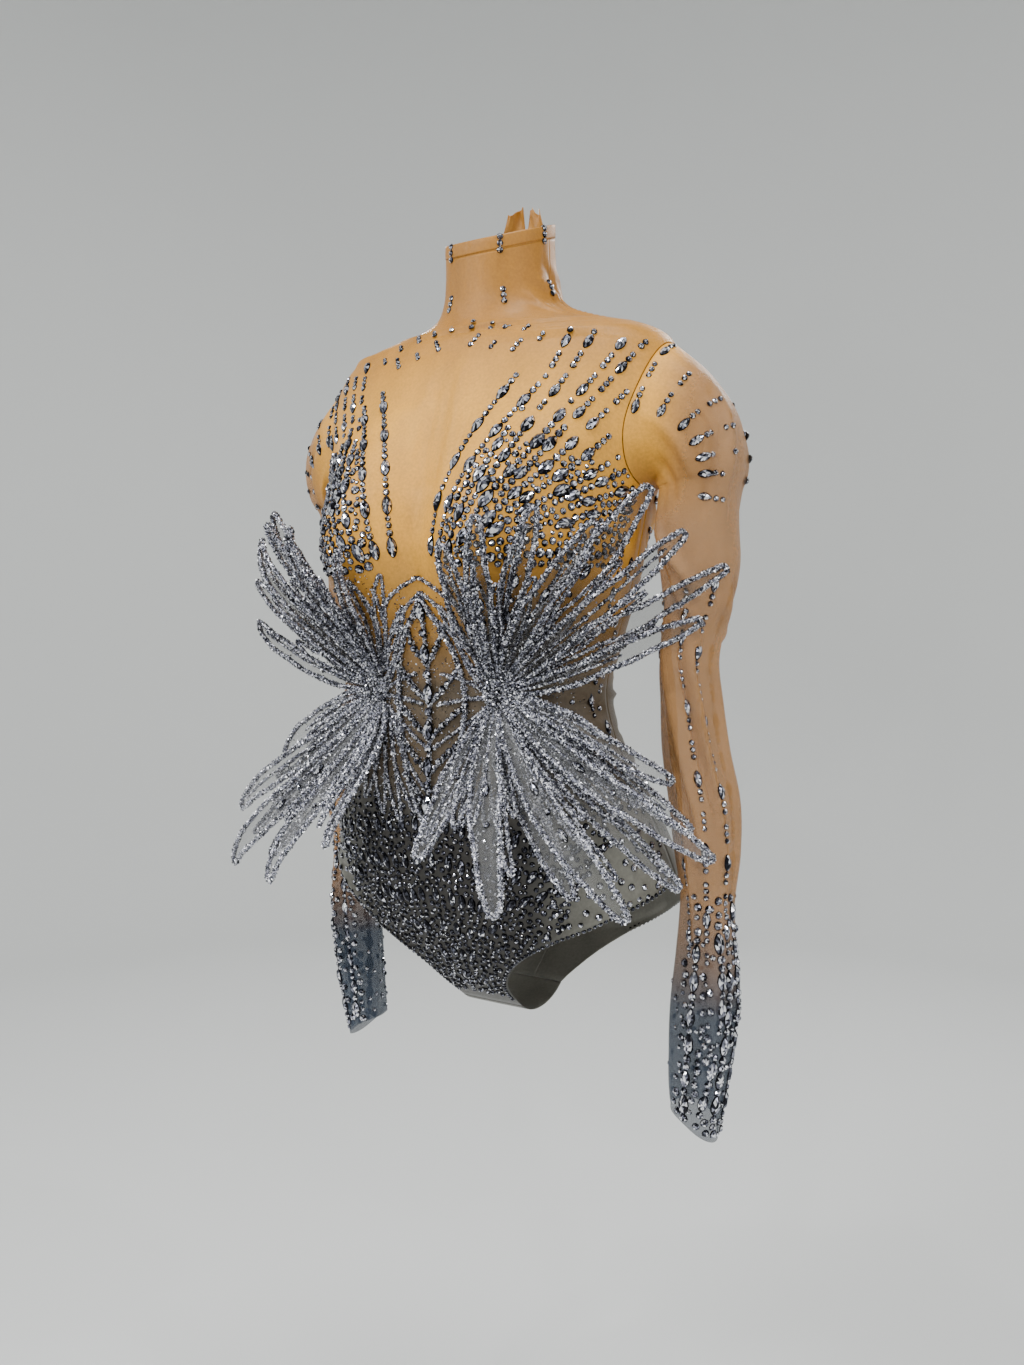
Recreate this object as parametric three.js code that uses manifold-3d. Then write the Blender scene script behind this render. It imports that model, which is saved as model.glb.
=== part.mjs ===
import * as THREE from "three";
import { mergeVertices } from "three/addons/utils/BufferGeometryUtils.js";
import Module from "manifold-3d";

// A rhinestone stage bodysuit, as it stands when worn: a sheer stretch-net suit with a grown-on mock
// neck, long hanging sleeves that end in a hand point, brief leg openings and a centre-back closure,
// with fans of stiffened organza petals sewn at the waist. It is hollow: the wearer carries it at the
// shoulders. Millimetres. +X is the wearer's left, -Y the front, +Z up. The origin lies between the
// shoulders, at the height of the neck's foot.

// Cloth and seams.
const WALL = 1.5;
const SEAM_GAP = 0.3;
const LAY_GAP = 0.75;
const SIDES = [
  ["left", 1],
  ["right", -1],
];
const DEGREE = Math.PI / 180;

// Torso sections from the collar seam down to the crotch. half is the half width, front and back are
// the Y of the centre lines, slant is the rise in Z for each millimetre towards the back, as the neck
// leans.
const TORSO = [
  { z: 67, half: 49.5, front: -51, back: 45, slant: 0.4 },
  { z: 45, half: 50, front: -51, back: 47, slant: 0.36 },
  { z: 22, half: 53, front: -52, back: 51, slant: 0.28 },
  { z: 3, half: 64, front: -56, back: 57, slant: 0.18 },
  { z: -11, half: 98, front: -62, back: 63, slant: 0.1 },
  { z: -22, half: 142, front: -70, back: 69, slant: 0.04 },
  { z: -42, half: 169, front: -80, back: 74, slant: 0 },
  { z: -87, half: 178, front: -100, back: 82, slant: 0 },
  { z: -126, half: 170, front: -113, back: 87, slant: 0 },
  { z: -165, half: 154, front: -120, back: 88, slant: 0 },
  { z: -205, half: 147, front: -124, back: 85, slant: 0 },
  { z: -245, half: 141, front: -126, back: 76, slant: 0 },
  { z: -289, half: 131, front: -122, back: 60, slant: 0 },
  { z: -333, half: 122, front: -116, back: 50, slant: 0 },
  { z: -373, half: 128, front: -116, back: 60, slant: 0 },
  { z: -413, half: 143, front: -118, back: 80, slant: 0 },
  { z: -454, half: 160, front: -118, back: 102, slant: 0 },
  { z: -494, half: 172, front: -113, back: 117, slant: 0 },
  { z: -528, half: 176, front: -101, back: 122, slant: 0 },
  { z: -562, half: 176, front: -82, back: 117, slant: 0 },
  { z: -596, half: 172, front: -55, back: 98, slant: 0 },
  { z: -626, half: 166, front: -18, back: 60, slant: 0 },
];
const rowOf = (z) => TORSO.findIndex((section) => section.z === z);
const SHOULDER_ROW = rowOf(-42);
const ARMPIT_ROW = rowOf(-165);
const WAIST_ROW = rowOf(-333);
const LEG_ROW = rowOf(-494);
const LAST_ROW = TORSO.length - 1;

// The cups are sewn in the front: their centres, spread and depth, how square their slope is (round)
// and how sharply the two meet (blend).
const CUP = { x: 79, z: -207, spreadX: 60, spreadUp: 80, spreadDown: 52, depth: 50, round: 1.15, blend: 2 };

// Openings, in degrees round the torso: how far the armhole cuts into the front and back at half its
// height, and the angle that the brief keeps at the gusset, with how fast each side of the leg opening
// closes in on it. The gusset leaves each panel along a tangent of the length gussetCurve, and takes the
// panels' slope near its two ends, the more so the higher gussetBlend is. The cut fades towards the middle
// of a panel by ARMHOLE_FADE.
const ARMHOLE_CUT = { front: 30, back: 27 };
const ARMHOLE_FADE = 1.5;
const LEG = { gussetAngle: 11, gussetCurve: 26, gussetBlend: 8, power: { front: 2.8, back: 1.5 } };

// The turned band round the neck's rim: its height, and how far its cloth stands off the neck.
const BAND = { height: 12, lift: 0.4 };

// The closure runs down the centre back, from the band to a row of the torso. Its tape lies over the
// seam, and two loose ends of it stand up above the rim, lower towards their outer edge by the share
// slope, with a ripple in their height and waves in their depth.
const CLOSURE = { width: 9, thickness: 0.9, lastRow: 14 };
const CLOSURE_END = { rise: 21, width: 20, thickness: 1.2, start: 1.2, taper: 0.25, slope: 0.3 };
const CLOSURE_RUFFLE = { depth: 3, waves: 9, curl: 7, ripple: 0.12 };

// Sleeve sections below the cap: centre and half sizes across X and Y on the left side, how deep the
// folds run, and how far the right sleeve hangs closer in (tuck) and further back than the left. It
// also hangs slimmer.
const SLEEVE = [
  { z: -196, x: 191, y: -3, halfX: 33, halfY: 39, fold: 0.04, tuck: 12, back: 12 },
  { z: -226, x: 193, y: -3, halfX: 32, halfY: 36, fold: 0.05, tuck: 12, back: 16 },
  { z: -254, x: 191, y: -2, halfX: 28, halfY: 32, fold: 0.08, tuck: 11, back: 20 },
  { z: -280, x: 186, y: -1, halfX: 22, halfY: 27, fold: 0.13, tuck: 8, back: 24 },
  { z: -309, x: 182, y: 0, halfX: 19, halfY: 23, fold: 0.15, tuck: 7, back: 26 },
  { z: -343, x: 185, y: 1, halfX: 19, halfY: 22, fold: 0.15, tuck: 6, back: 28 },
  { z: -385, x: 190, y: 1, halfX: 21, halfY: 23, fold: 0.12, tuck: 3, back: 30 },
  { z: -426, x: 198, y: 0, halfX: 23, halfY: 26, fold: 0.1, tuck: 0, back: 32 },
  { z: -468, x: 201, y: 0, halfX: 23, halfY: 26, fold: 0.08, tuck: -1, back: 33 },
  { z: -510, x: 202, y: 0, halfX: 20, halfY: 22, fold: 0.1, tuck: 0, back: 34 },
  { z: -552, x: 204, y: 0, halfX: 22, halfY: 26, fold: 0.08, tuck: 2, back: 35 },
  { z: -594, x: 204, y: 0, halfX: 25, halfY: 29, fold: 0.06, tuck: 4, back: 36 },
  { z: -636, x: 201, y: 0, halfX: 24, halfY: 28, fold: 0.06, tuck: 5, back: 36 },
  { z: -672, x: 196, y: 0, halfX: 21, halfY: 25, fold: 0.05, tuck: 5, back: 36 },
  { z: -690, x: 193, y: 0, halfX: 19, halfY: 23, fold: 0.04, tuck: 5, back: 36 },
];
const SLEEVE_FOLDS = 3;
const FOLD_TWIST = 0.35;
const RIGHT_SLIM = 0.86;
// The cap's rings fan out round a turn at the armpit, from the armhole's height to the width of the
// hanging sleeve.
const CAP = { rings: 6, startHeight: 124, endHeight: 62, flare: -0.06, depth: 42, middle: -12, leave: 0.45 };
const CAP_TURN = { x: 157, z: -167, radius: 6 };
// The hand point hangs from the outer side of the cuff, and draws down the last rows of the table.
const HAND_POINT = { drop: 25, sharpness: 1.6, rows: 2 };

// The fans of petals are sewn round a boss on each side of the waist, at an angle off the centre front.
// Their roots lie in two layers on the boss's wall, one petal over its neighbour, at even angles in
// each fan. The boss rounds off from its shoulder, a share of its radius. A petal's line takes up its
// heading by the shares leave and arrive, its width swells by leafPower, and its web takes at least the
// share webLeast of its half width.
const BOSS = { angle: 29.5, radius: 12, wall: 8.6, thickness: 11, foot: 0.9, shoulder: 0.7 };
const PETAL = { rootHalf: 1.9, rim: 1.8, web: 0.7, rimWidth: 3.2, stations: 8, lift: 3.4, layerRise: 4 };
const LEAF = { leave: 0.3, arrive: 0.7, leafPower: 1.05, webLeast: 0.4 };
const FAN = { pitch: 14.5, upperStart: 112, lowerStart: -14 };
// Each petal's tip on the wearer's left side, how far its middle bows outwards, and its widest half
// width.
const PETALS = {
  upper: [
    { x: 50, y: -175, z: -218, bow: 20, half: 11 },
    { x: 90, y: -188, z: -199, bow: 30, half: 12 },
    { x: 130, y: -172, z: -193, bow: 16, half: 13 },
    { x: 165, y: -142, z: -203, bow: 36, half: 13 },
    { x: 190, y: -100, z: -174, bow: 12, half: 18 },
    { x: 215, y: -92, z: -209, bow: 26, half: 13 },
    { x: 240, y: -70, z: -235, bow: 10, half: 12 },
    { x: 225, y: -84, z: -275, bow: 22, half: 11 },
  ],
  lower: [
    { x: 200, y: -76, z: -400, bow: 16, half: 11 },
    { x: 210, y: -62, z: -440, bow: 8, half: 13 },
    { x: 240, y: -95, z: -454, bow: 24, half: 14 },
    { x: 215, y: -98, z: -478, bow: 10, half: 13 },
    { x: 195, y: -150, z: -493, bow: 34, half: 16 },
    { x: 150, y: -150, z: -482, bow: 8, half: 14 },
    { x: 110, y: -195, z: -491, bow: 28, half: 17 },
    { x: 45, y: -200, z: -454, bow: 8, half: 14 },
  ],
};
// The lower layer holds these, counted from one, in each fan.
const LOWER_LAYER = { upper: [1, 3, 5, 7], lower: [2, 4, 6, 8] };

// The applique on the front of the waist, between two rows of the torso: half widths at even steps down
// it.
const APPLIQUE = { firstRow: 11.2, lastRow: 16, thickness: 1.6 };
const APPLIQUE_WIDTHS = [3, 24, 34, 34, 28, 18, 3].map((half) => ({ half }));
// It is an open lattice: chevrons of cord hang from its rim and meet on a centre cord. Four are shares of
// its length: where the first chevron would leave the rim (first), how far apart the chevrons lie (pitch),
// how far each falls to the centre (drop) and where the highest cell may start (top). The height of the
// chevrons (cord) and the widths of the rim and the centre cord are in millimetres.
const LATTICE = { cells: 5, first: -0.06, pitch: 0.16, drop: 0.17, top: 0.05, cord: 6.4, rim: 5, centre: 6 };

// How finely each part is divided. The rows of the leg opening lie closer together at its top.
const ARMHOLE_STEPS = 7;
const PANEL_COLUMNS = 20;
const LEG_ROWS_POWER = 1.35;

const mix = (a, b, share) => a + (b - a) * share;

// A smooth curve through evenly numbered rows, one column at a time.
function along(rows, column, at) {
  const last = rows.length - 1;
  const i = Math.min(Math.max(Math.floor(at), 0), last - 1);
  const f = at - i;
  const value = (k) => rows[Math.min(Math.max(k, 0), last)][column];
  const [p, q, r, s] = [value(i - 1), value(i), value(i + 1), value(i + 2)];
  const rise = (r - p) / 2;
  const next = (s - q) / 2;
  const bend = 3 * (r - q) - 2 * rise - next;
  const twist = rise + next - 2 * (r - q);
  return q + f * (rise + f * (bend + f * twist));
}

// How far a cup pushes the front out at a place on it.
function cupDepth(x, z) {
  const spreadZ = z > CUP.z ? CUP.spreadUp : CUP.spreadDown;
  const up = ((z - CUP.z) / spreadZ) ** 2;
  const one = (side) => Math.exp(-((((x - side * CUP.x) / CUP.spreadX) ** 2 + up) ** CUP.round));
  const [left, right] = [one(1), one(-1)];
  return CUP.depth * (left ** CUP.blend + right ** CUP.blend) ** (1 / CUP.blend);
}

// A point on the torso. angle runs from 0 at the centre front to 180 at the centre back, negative on
// the right.
function torso(row, angle) {
  const half = along(TORSO, "half", row);
  const front = along(TORSO, "front", row);
  const back = along(TORSO, "back", row);
  const middle = (front + back) / 2;
  const z = along(TORSO, "z", row);
  const turn = angle * DEGREE;
  const x = half * Math.sin(turn);
  const depth = Math.cos(turn) > 0 ? middle - front : back - middle;
  let y = middle - depth * Math.cos(turn);
  if (Math.cos(turn) > 0) y -= cupDepth(x, z) * Math.cos(turn) ** 0.5;
  return new THREE.Vector3(x, y, z + along(TORSO, "slant", row) * y);
}

// The angle, from the centre line of its side, at which a panel ends on each row.
function panelEdge(row, side) {
  if (row > SHOULDER_ROW && row < ARMPIT_ROW) {
    const share = (row - SHOULDER_ROW) / (ARMPIT_ROW - SHOULDER_ROW);
    return 90 - ARMHOLE_CUT[side] * Math.sqrt(1 - (2 * share - 1) ** 2);
  }
  if (row > LEG_ROW) {
    const share = Math.min((row - LEG_ROW) / (LAST_ROW - LEG_ROW), 1);
    return mix(LEG.gussetAngle, 90, (1 - share) ** LEG.power[side]);
  }
  return 90;
}

// The outward direction of the torso at a row and an angle.
function torsoNormal(row, angle) {
  const down = torso(row + 0.01, angle).sub(torso(row - 0.01, angle));
  const across = torso(row, angle + 0.1).sub(torso(row, angle - 0.1));
  return down.cross(across).normalize();
}

// A closed solid from an outer and an inner grid of points. Rows and columns run so that the outer
// faces turn out.
function solidFromGrids(outer, inner, closed = false) {
  const rows = outer.length;
  const columns = outer[0].length;
  const position = [...outer.flat(), ...inner.flat()].flatMap((p) => [p.x, p.y, p.z]);
  const at = (i, j) => i * columns + (j % columns);
  const shift = rows * columns;
  const index = [];
  const quad = (a, b, c, d) => index.push(a, b, c, a, c, d);
  const spans = closed ? columns : columns - 1;
  for (let i = 0; i < rows - 1; i++)
    for (let j = 0; j < spans; j++) {
      quad(at(i, j), at(i + 1, j), at(i + 1, j + 1), at(i, j + 1));
      quad(
        shift + at(i, j),
        shift + at(i, j + 1),
        shift + at(i + 1, j + 1),
        shift + at(i + 1, j),
      );
    }
  for (let j = 0; j < spans; j++) {
    quad(at(0, j), at(0, j + 1), shift + at(0, j + 1), shift + at(0, j));
    const end = rows - 1;
    quad(at(end, j + 1), at(end, j), shift + at(end, j), shift + at(end, j + 1));
  }
  if (!closed)
    for (let i = 0; i < rows - 1; i++) {
      quad(at(i + 1, 0), at(i, 0), shift + at(i, 0), shift + at(i + 1, 0));
      const edge = columns - 1;
      quad(at(i, edge), at(i + 1, edge), shift + at(i + 1, edge), shift + at(i, edge));
    }
  const geometry = new THREE.BufferGeometry();
  geometry.setAttribute("position", new THREE.Float32BufferAttribute(position, 3));
  geometry.setIndex(index);
  return geometry;
}

// Draws the edge of a grid in towards its neighbours, so that two panels leave the seam gap between
// them.
function inset(grid, distance, edges) {
  const pull = (from, to) => from.clone().add(to.clone().sub(from).setLength(distance));
  const last = grid.length - 1;
  const end = grid[0].length - 1;
  const made = grid.map((row) => row.map((p) => p.clone()));
  if (edges.includes("top")) grid[0].forEach((p, j) => (made[0][j] = pull(p, grid[1][j])));
  if (edges.includes("bottom"))
    grid[last].forEach((p, j) => (made[last][j] = pull(p, grid[last - 1][j])));
  if (edges.includes("sides"))
    made.forEach((row) => {
      const [first, final] = [pull(row[0], row[1]), pull(row[end], row[end - 1])];
      row[0] = first;
      row[end] = final;
    });
  return made;
}

// A wall on the torso, from `under` to `over` millimetres off its middle. place gives the row and the
// angle of each grid point, with the angle rising along the columns.
function torsoWall(place, rowsAt, columnsAt, under, over, edges) {
  const layer = (off) =>
    inset(
      rowsAt.map((v) =>
        columnsAt.map((u) => {
          const [row, angle] = place(u, v);
          return torso(row, angle).addScaledVector(torsoNormal(row, angle), off);
        }),
      ),
      SEAM_GAP / 2,
      edges,
    );
  return solidFromGrids(layer(over), layer(under));
}

const steps = (from, to, count) =>
  Array.from({ length: count + 1 }, (_, i) => mix(from, to, i / count));

// Rows of armhole points, closer together near the shoulder and the armpit.
const armholeRows = Array.from({ length: ARMHOLE_STEPS + 1 }, (_, i) =>
  mix(SHOULDER_ROW, ARMPIT_ROW, (1 - Math.cos((Math.PI * i) / ARMHOLE_STEPS)) / 2),
);
const panelRows = [
  ...steps(0, SHOULDER_ROW, 6).slice(0, -1),
  ...armholeRows.slice(0, -1),
  ...steps(ARMPIT_ROW, LEG_ROW, 16).slice(0, -1),
  ...steps(0, 1, 8).map((share) => mix(LEG_ROW, LAST_ROW, share ** LEG_ROWS_POWER)),
];

const frontColumns = steps(-1, 1, PANEL_COLUMNS);
const ALL_EDGES = ["top", "bottom", "sides"];

// The angle off its own centre line at a share u of a panel's width. The armhole only draws in the
// outer columns.
function panelAngle(u, row, side) {
  const edge = panelEdge(row, side);
  return row < ARMPIT_ROW ? u * mix(90, edge, Math.abs(u) ** ARMHOLE_FADE) : u * edge;
}

function frontPanel() {
  const place = (u, row) => [row, panelAngle(u, row, "front")];
  return torsoWall(place, panelRows, frontColumns, -WALL / 2, WALL / 2, ALL_EDGES);
}

function backPanel(side) {
  const place = (u, row) => [row, side * (180 - panelAngle(u, row, "back"))];
  const columns = steps(0, 1, PANEL_COLUMNS / 2);
  if (side > 0) columns.reverse();
  return torsoWall(place, panelRows, columns, -WALL / 2, WALL / 2, ALL_EDGES);
}

// The piece between the legs, curved under from the end of the front to the end of the back.
function gusset() {
  const edge = (side, u) => {
    const angle = u * LEG.gussetAngle;
    const at = side === "front" ? angle : 180 - angle;
    const point = torso(LAST_ROW, at);
    const heading = point.clone().sub(torso(LAST_ROW - 0.05, at)).setLength(LEG.gussetCurve);
    return { point, heading, normal: torsoNormal(LAST_ROW, at) };
  };
  const layer = (off) =>
    inset(
      steps(0, 1, 8).map((v) =>
        steps(-1, 1, 6).map((u) => {
          const [from, to] = [edge("front", u), edge("back", u)];
          const curve = new THREE.CubicBezierCurve3(
            from.point,
            from.point.clone().add(from.heading),
            to.point.clone().add(to.heading),
            to.point,
          );
          const tangent = curve.getTangent(v);
          const normal = new THREE.Vector3(0, tangent.z, -tangent.y).normalize();
          const panelNormal = from.normal.clone().lerp(to.normal, v);
          normal.lerp(panelNormal, Math.abs(2 * v - 1) ** LEG.gussetBlend).normalize();
          return curve.getPoint(v).addScaledVector(normal, off);
        }),
      ),
      SEAM_GAP / 2,
      ["top", "bottom"],
    );
  return solidFromGrids(layer(WALL / 2), layer(-WALL / 2));
}

// The turned band on the neck's rim, one ring that rises from the collar seam.
function neckBand() {
  const rise = [BAND.height, BAND.height / 2, SEAM_GAP / 2];
  const around = steps(0, 360, 32).slice(0, -1);
  const layer = (off) =>
    rise.map((height) =>
      around.map((angle) => {
        const foot = torso(0, angle).addScaledVector(torsoNormal(0, angle), off);
        return foot.add(new THREE.Vector3(0, 0, height));
      }),
    );
  return solidFromGrids(layer(WALL / 2 + BAND.lift), layer(-WALL / 2), true);
}

// The tape over the centre-back seam.
function closureTape() {
  const low = WALL / 2 + LAY_GAP;
  const rows = panelRows.filter((row) => row <= CLOSURE.lastRow);
  const place = (u, row) => {
    const depth = (along(TORSO, "back", row) - along(TORSO, "front", row)) / 2;
    const half = Math.max(along(TORSO, "half", row), depth);
    return [row, 180 + (u * CLOSURE.width) / 2 / (half * DEGREE)];
  };
  return torsoWall(place, rows, [-1, 0, 1], low, low + CLOSURE.thickness, ["top"]);
}

// One loose end of the closure: a ruffled flap that stands above the rim at the centre back.
function closureEnd(side) {
  const { rise, width, start, taper, slope } = CLOSURE_END;
  const { depth, waves, curl, ripple } = CLOSURE_RUFFLE;
  const foot = torso(0, 180);
  const base = foot.z + BAND.height + SEAM_GAP;
  const acrossAt = steps(0, 1, 8);
  if (side > 0) acrossAt.reverse();
  const layer = (off) =>
    steps(1, 0, 4).map((up) =>
      acrossAt.map((across) => {
        const x = side * (start + across * width * (1 - taper * up));
        const wave = depth * up * (side + Math.sin(across * waves + side));
        const height = rise * up * (1 - slope * across + ripple * Math.sin(across * curl));
        return new THREE.Vector3(x, foot.y - curl * across ** 2 + wave + off, base + height);
      }),
    );
  const t = CLOSURE_END.thickness / 2;
  return solidFromGrids(layer(t), layer(-t));
}

// The sleeve's first ring, just inside the armhole's edge. turn is 0 on top, 90 in front and 180 at the
// armpit.
function armholeEdge(turn) {
  const front = Math.sin(turn * DEGREE) >= 0;
  const row = mix(SHOULDER_ROW, ARMPIT_ROW, (1 - Math.cos(turn * DEGREE)) / 2);
  const angle = front ? panelEdge(row, "front") : 180 - panelEdge(row, "back");
  const point = torso(row, angle);
  const middle = torso((SHOULDER_ROW + ARMPIT_ROW) / 2, 90);
  return point.add(middle.sub(point).setLength(WALL / 2 + SEAM_GAP));
}

// A point on the sleeve. The first ring lies in the armhole, those of the cap fan out round the armpit,
// and the rest hang from the table.
function sleevePoint(turn, ring, side) {
  const right = side < 0;
  const [c, s] = [Math.cos(turn * DEGREE), Math.sin(turn * DEGREE)];
  if (ring <= CAP.rings) {
    const share = ring / CAP.rings;
    const lean = share * 90 * DEGREE;
    const reach = CAP_TURN.radius + (mix(CAP.startHeight, CAP.endHeight, share) / 2) * (1 + c);
    const flare = 1 + CAP.flare * Math.sin(Math.PI * share);
    const slim = right ? RIGHT_SLIM : 1;
    const hangs = SLEEVE[0];
    const fan = new THREE.Vector3(
      CAP_TURN.x + reach * Math.sin(lean) * flare * slim,
      mix(CAP.middle, hangs.y, share) - mix(CAP.depth, hangs.halfY, share) * s,
      CAP_TURN.z + reach * Math.cos(lean) * flare,
    );
    const drift = new THREE.Vector3((-hangs.tuck * (1 + c)) / 2, hangs.back, 0);
    if (right) fan.addScaledVector(drift, share ** 2);
    return armholeEdge(turn).lerp(fan, THREE.MathUtils.smoothstep(share, 0, CAP.leave));
  }
  const at = ring - CAP.rings - 1;
  const get = (column) => along(SLEEVE, column, at);
  const fold = 1 + get("fold") * Math.cos(SLEEVE_FOLDS * turn * DEGREE + at * FOLD_TWIST);
  const drop = HAND_POINT.drop * Math.max(0, (at - SLEEVE.length + 1 + HAND_POINT.rows) / HAND_POINT.rows);
  return new THREE.Vector3(
    get("x") - (right ? get("tuck") : 0) + get("halfX") * c * fold * (right ? RIGHT_SLIM : 1),
    get("y") + (right ? get("back") : 0) - get("halfY") * s * fold,
    get("z") - drop * ((1 + c) / 2) ** HAND_POINT.sharpness,
  );
}

function sleeve(side) {
  const turns = steps(0, 360, 2 * ARMHOLE_STEPS).slice(0, -1);
  const rings = steps(0, CAP.rings + SLEEVE.length, CAP.rings + SLEEVE.length);
  const outward = (turn, ring) => {
    const [above, below] = [Math.max(ring - 0.02, 0), Math.min(ring + 0.02, rings.at(-1))];
    const down = sleevePoint(turn, below, side).sub(sleevePoint(turn, above, side));
    const around = sleevePoint(turn + 1, ring, side).sub(sleevePoint(turn - 1, ring, side));
    return around.cross(down).normalize();
  };
  const layer = (off) =>
    rings.map((ring) =>
      turns.map((turn) => {
        const p = sleevePoint(turn, ring, side).addScaledVector(outward(turn, ring), off);
        p.x *= side;
        return p;
      }),
    );
  if (side > 0) turns.reverse();
  return solidFromGrids(layer(WALL / 2), layer(-WALL / 2), true);
}

// Where the boss sits on the front, and the three directions there: outwards, sideways and up.
function bossFrame(side) {
  const angle = side * BOSS.angle;
  const point = torso(WAIST_ROW, angle);
  const out = torsoNormal(WAIST_ROW, angle);
  const up = new THREE.Vector3(0, 0, 1).addScaledVector(out, -out.z).normalize();
  return { point, out, up, across: up.clone().cross(out) };
}

// The boss is a low dome of close-set crystals.
function boss(side) {
  const { point, out } = bossFrame(side);
  const { radius, wall, thickness, shoulder } = BOSS;
  const profile = [
    [0, 0],
    [radius, 0],
    [radius, wall],
    [radius * shoulder, mix(wall, thickness, shoulder)],
    [0, thickness],
  ].map(([r, height]) => new THREE.Vector2(r, height));
  const dome = new THREE.LatheGeometry(profile, 20);
  const turn = new THREE.Quaternion().setFromUnitVectors(new THREE.Vector3(0, 1, 0), out);
  const foot = point.addScaledVector(out, WALL / 2 + BOSS.foot);
  return dome.applyMatrix4(new THREE.Matrix4().compose(foot, turn, new THREE.Vector3(1, 1, 1)));
}

// The line that a petal follows, from its root on the boss's wall to its tip.
function petalLine(fan, i) {
  const { point, out, up, across } = bossFrame(1);
  const row = PETALS[fan][i];
  const angle = (FAN[`${fan}Start`] - i * FAN.pitch) * DEGREE;
  const radial = across.clone().multiplyScalar(Math.cos(angle)).addScaledVector(up, Math.sin(angle));
  const layer = LOWER_LAYER[fan].includes(i + 1) ? 0 : 1;
  const root = point.clone().addScaledVector(radial, BOSS.radius + 3 * SEAM_GAP);
  root.addScaledVector(out, PETAL.lift + layer * PETAL.layerRise);
  const tip = new THREE.Vector3(row.x, row.y, row.z);
  const reach = tip.distanceTo(root);
  const curve = new THREE.CubicBezierCurve3(
    root,
    root.clone().addScaledVector(radial, reach * LEAF.leave).addScaledVector(out, row.bow),
    root.clone().lerp(tip, LEAF.arrive).addScaledVector(out, row.bow),
    tip,
  );
  return { curve, out, half: row.half };
}

// A petal is a thin leaf with a thick rim all round, pointed at both ends.
function petal(fan, i, side) {
  const { curve, out, half: widest } = petalLine(fan, i);
  const { rim, web, rimWidth, rootHalf, stations } = PETAL;
  const section = (share) => {
    const centre = curve.getPoint(share);
    const tangent = curve.getTangent(share);
    const wide = tangent.clone().cross(out).normalize();
    const thick = wide.clone().cross(tangent).normalize();
    const leaf = Math.sin(Math.PI * share) ** LEAF.leafPower;
    const half = mix(rootHalf, widest, leaf);
    const inner = Math.max(half - rimWidth, half * LEAF.webLeast);
    const outline = [
      [-half, rim],
      [-inner, web],
      [inner, web],
      [half, rim],
      [half, -rim],
      [inner, -web],
      [-inner, -web],
      [-half, -rim],
    ];
    return outline.map(([a, b]) => {
      const p = centre.clone().addScaledVector(wide, a).addScaledVector(thick, b);
      p.x *= side;
      return p;
    });
  };
  return capped(steps(0, 1, stations).map(section), side > 0);
}

// A closed solid from a row of like outlines, with a flat cap on each end.
function capped(sections, flipped) {
  const count = sections[0].length;
  const position = sections.flat().flatMap((p) => [p.x, p.y, p.z]);
  const index = [];
  const face = (a, b, c) => (flipped ? index.push(a, c, b) : index.push(a, b, c));
  for (let i = 0; i < sections.length - 1; i++)
    for (let j = 0; j < count; j++) {
      const [a, b] = [i * count + j, i * count + ((j + 1) % count)];
      face(a, b + count, b);
      face(a, a + count, b + count);
    }
  const last = (sections.length - 1) * count;
  // The outline's waist splits each cap into three quads: two rims and the web between them.
  for (const [a, b, c, d] of [
    [0, 1, 6, 7],
    [1, 2, 5, 6],
    [2, 3, 4, 5],
  ]) {
    face(a, b, c);
    face(a, c, d);
    face(last + a, last + c, last + b);
    face(last + a, last + d, last + c);
  }
  const geometry = new THREE.BufferGeometry();
  geometry.setAttribute("position", new THREE.Float32BufferAttribute(position, 3));
  geometry.setIndex(index);
  return geometry;
}

// A point on the flat faces of the front panel, moved out. u is the share of the panel's half width.
function onFront(u, row, off) {
  const i = Math.max(panelRows.findIndex((r) => r >= row) - 1, 0);
  const j = Math.max(frontColumns.findIndex((c) => c >= u) - 1, 0);
  const v = (row - panelRows[i]) / (panelRows[i + 1] - panelRows[i]);
  const w = (u - frontColumns[j]) / (frontColumns[j + 1] - frontColumns[j]);
  const at = (k, l) => {
    const [r, angle] = [panelRows[k], panelAngle(frontColumns[l], panelRows[k], "front")];
    return torso(r, angle).addScaledVector(torsoNormal(r, angle), off);
  };
  const [from, to] = [at(i, j), at(i + 1, j + 1)];
  const side = v > w ? at(i + 1, j) : at(i, j + 1);
  const [near, far] = v > w ? [v, w] : [w, v];
  return from.clone().addScaledVector(side.clone().sub(from), near).addScaledVector(to.sub(side), far);
}

// The half width of the applique at a row.
function appliqueHalf(row) {
  const share = (row - APPLIQUE.firstRow) / (APPLIQUE.lastRow - APPLIQUE.firstRow);
  return along(APPLIQUE_WIDTHS, "half", share * (APPLIQUE_WIDTHS.length - 1));
}

// A closed geometry as a solid that can be cut.
function cuttable(geometry) {
  return new wasm.Manifold(
    new wasm.Mesh({
      numProp: 3,
      vertProperties: geometry.getAttribute("position").array,
      triVerts: new Uint32Array(geometry.index.array),
    }),
  );
}

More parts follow.
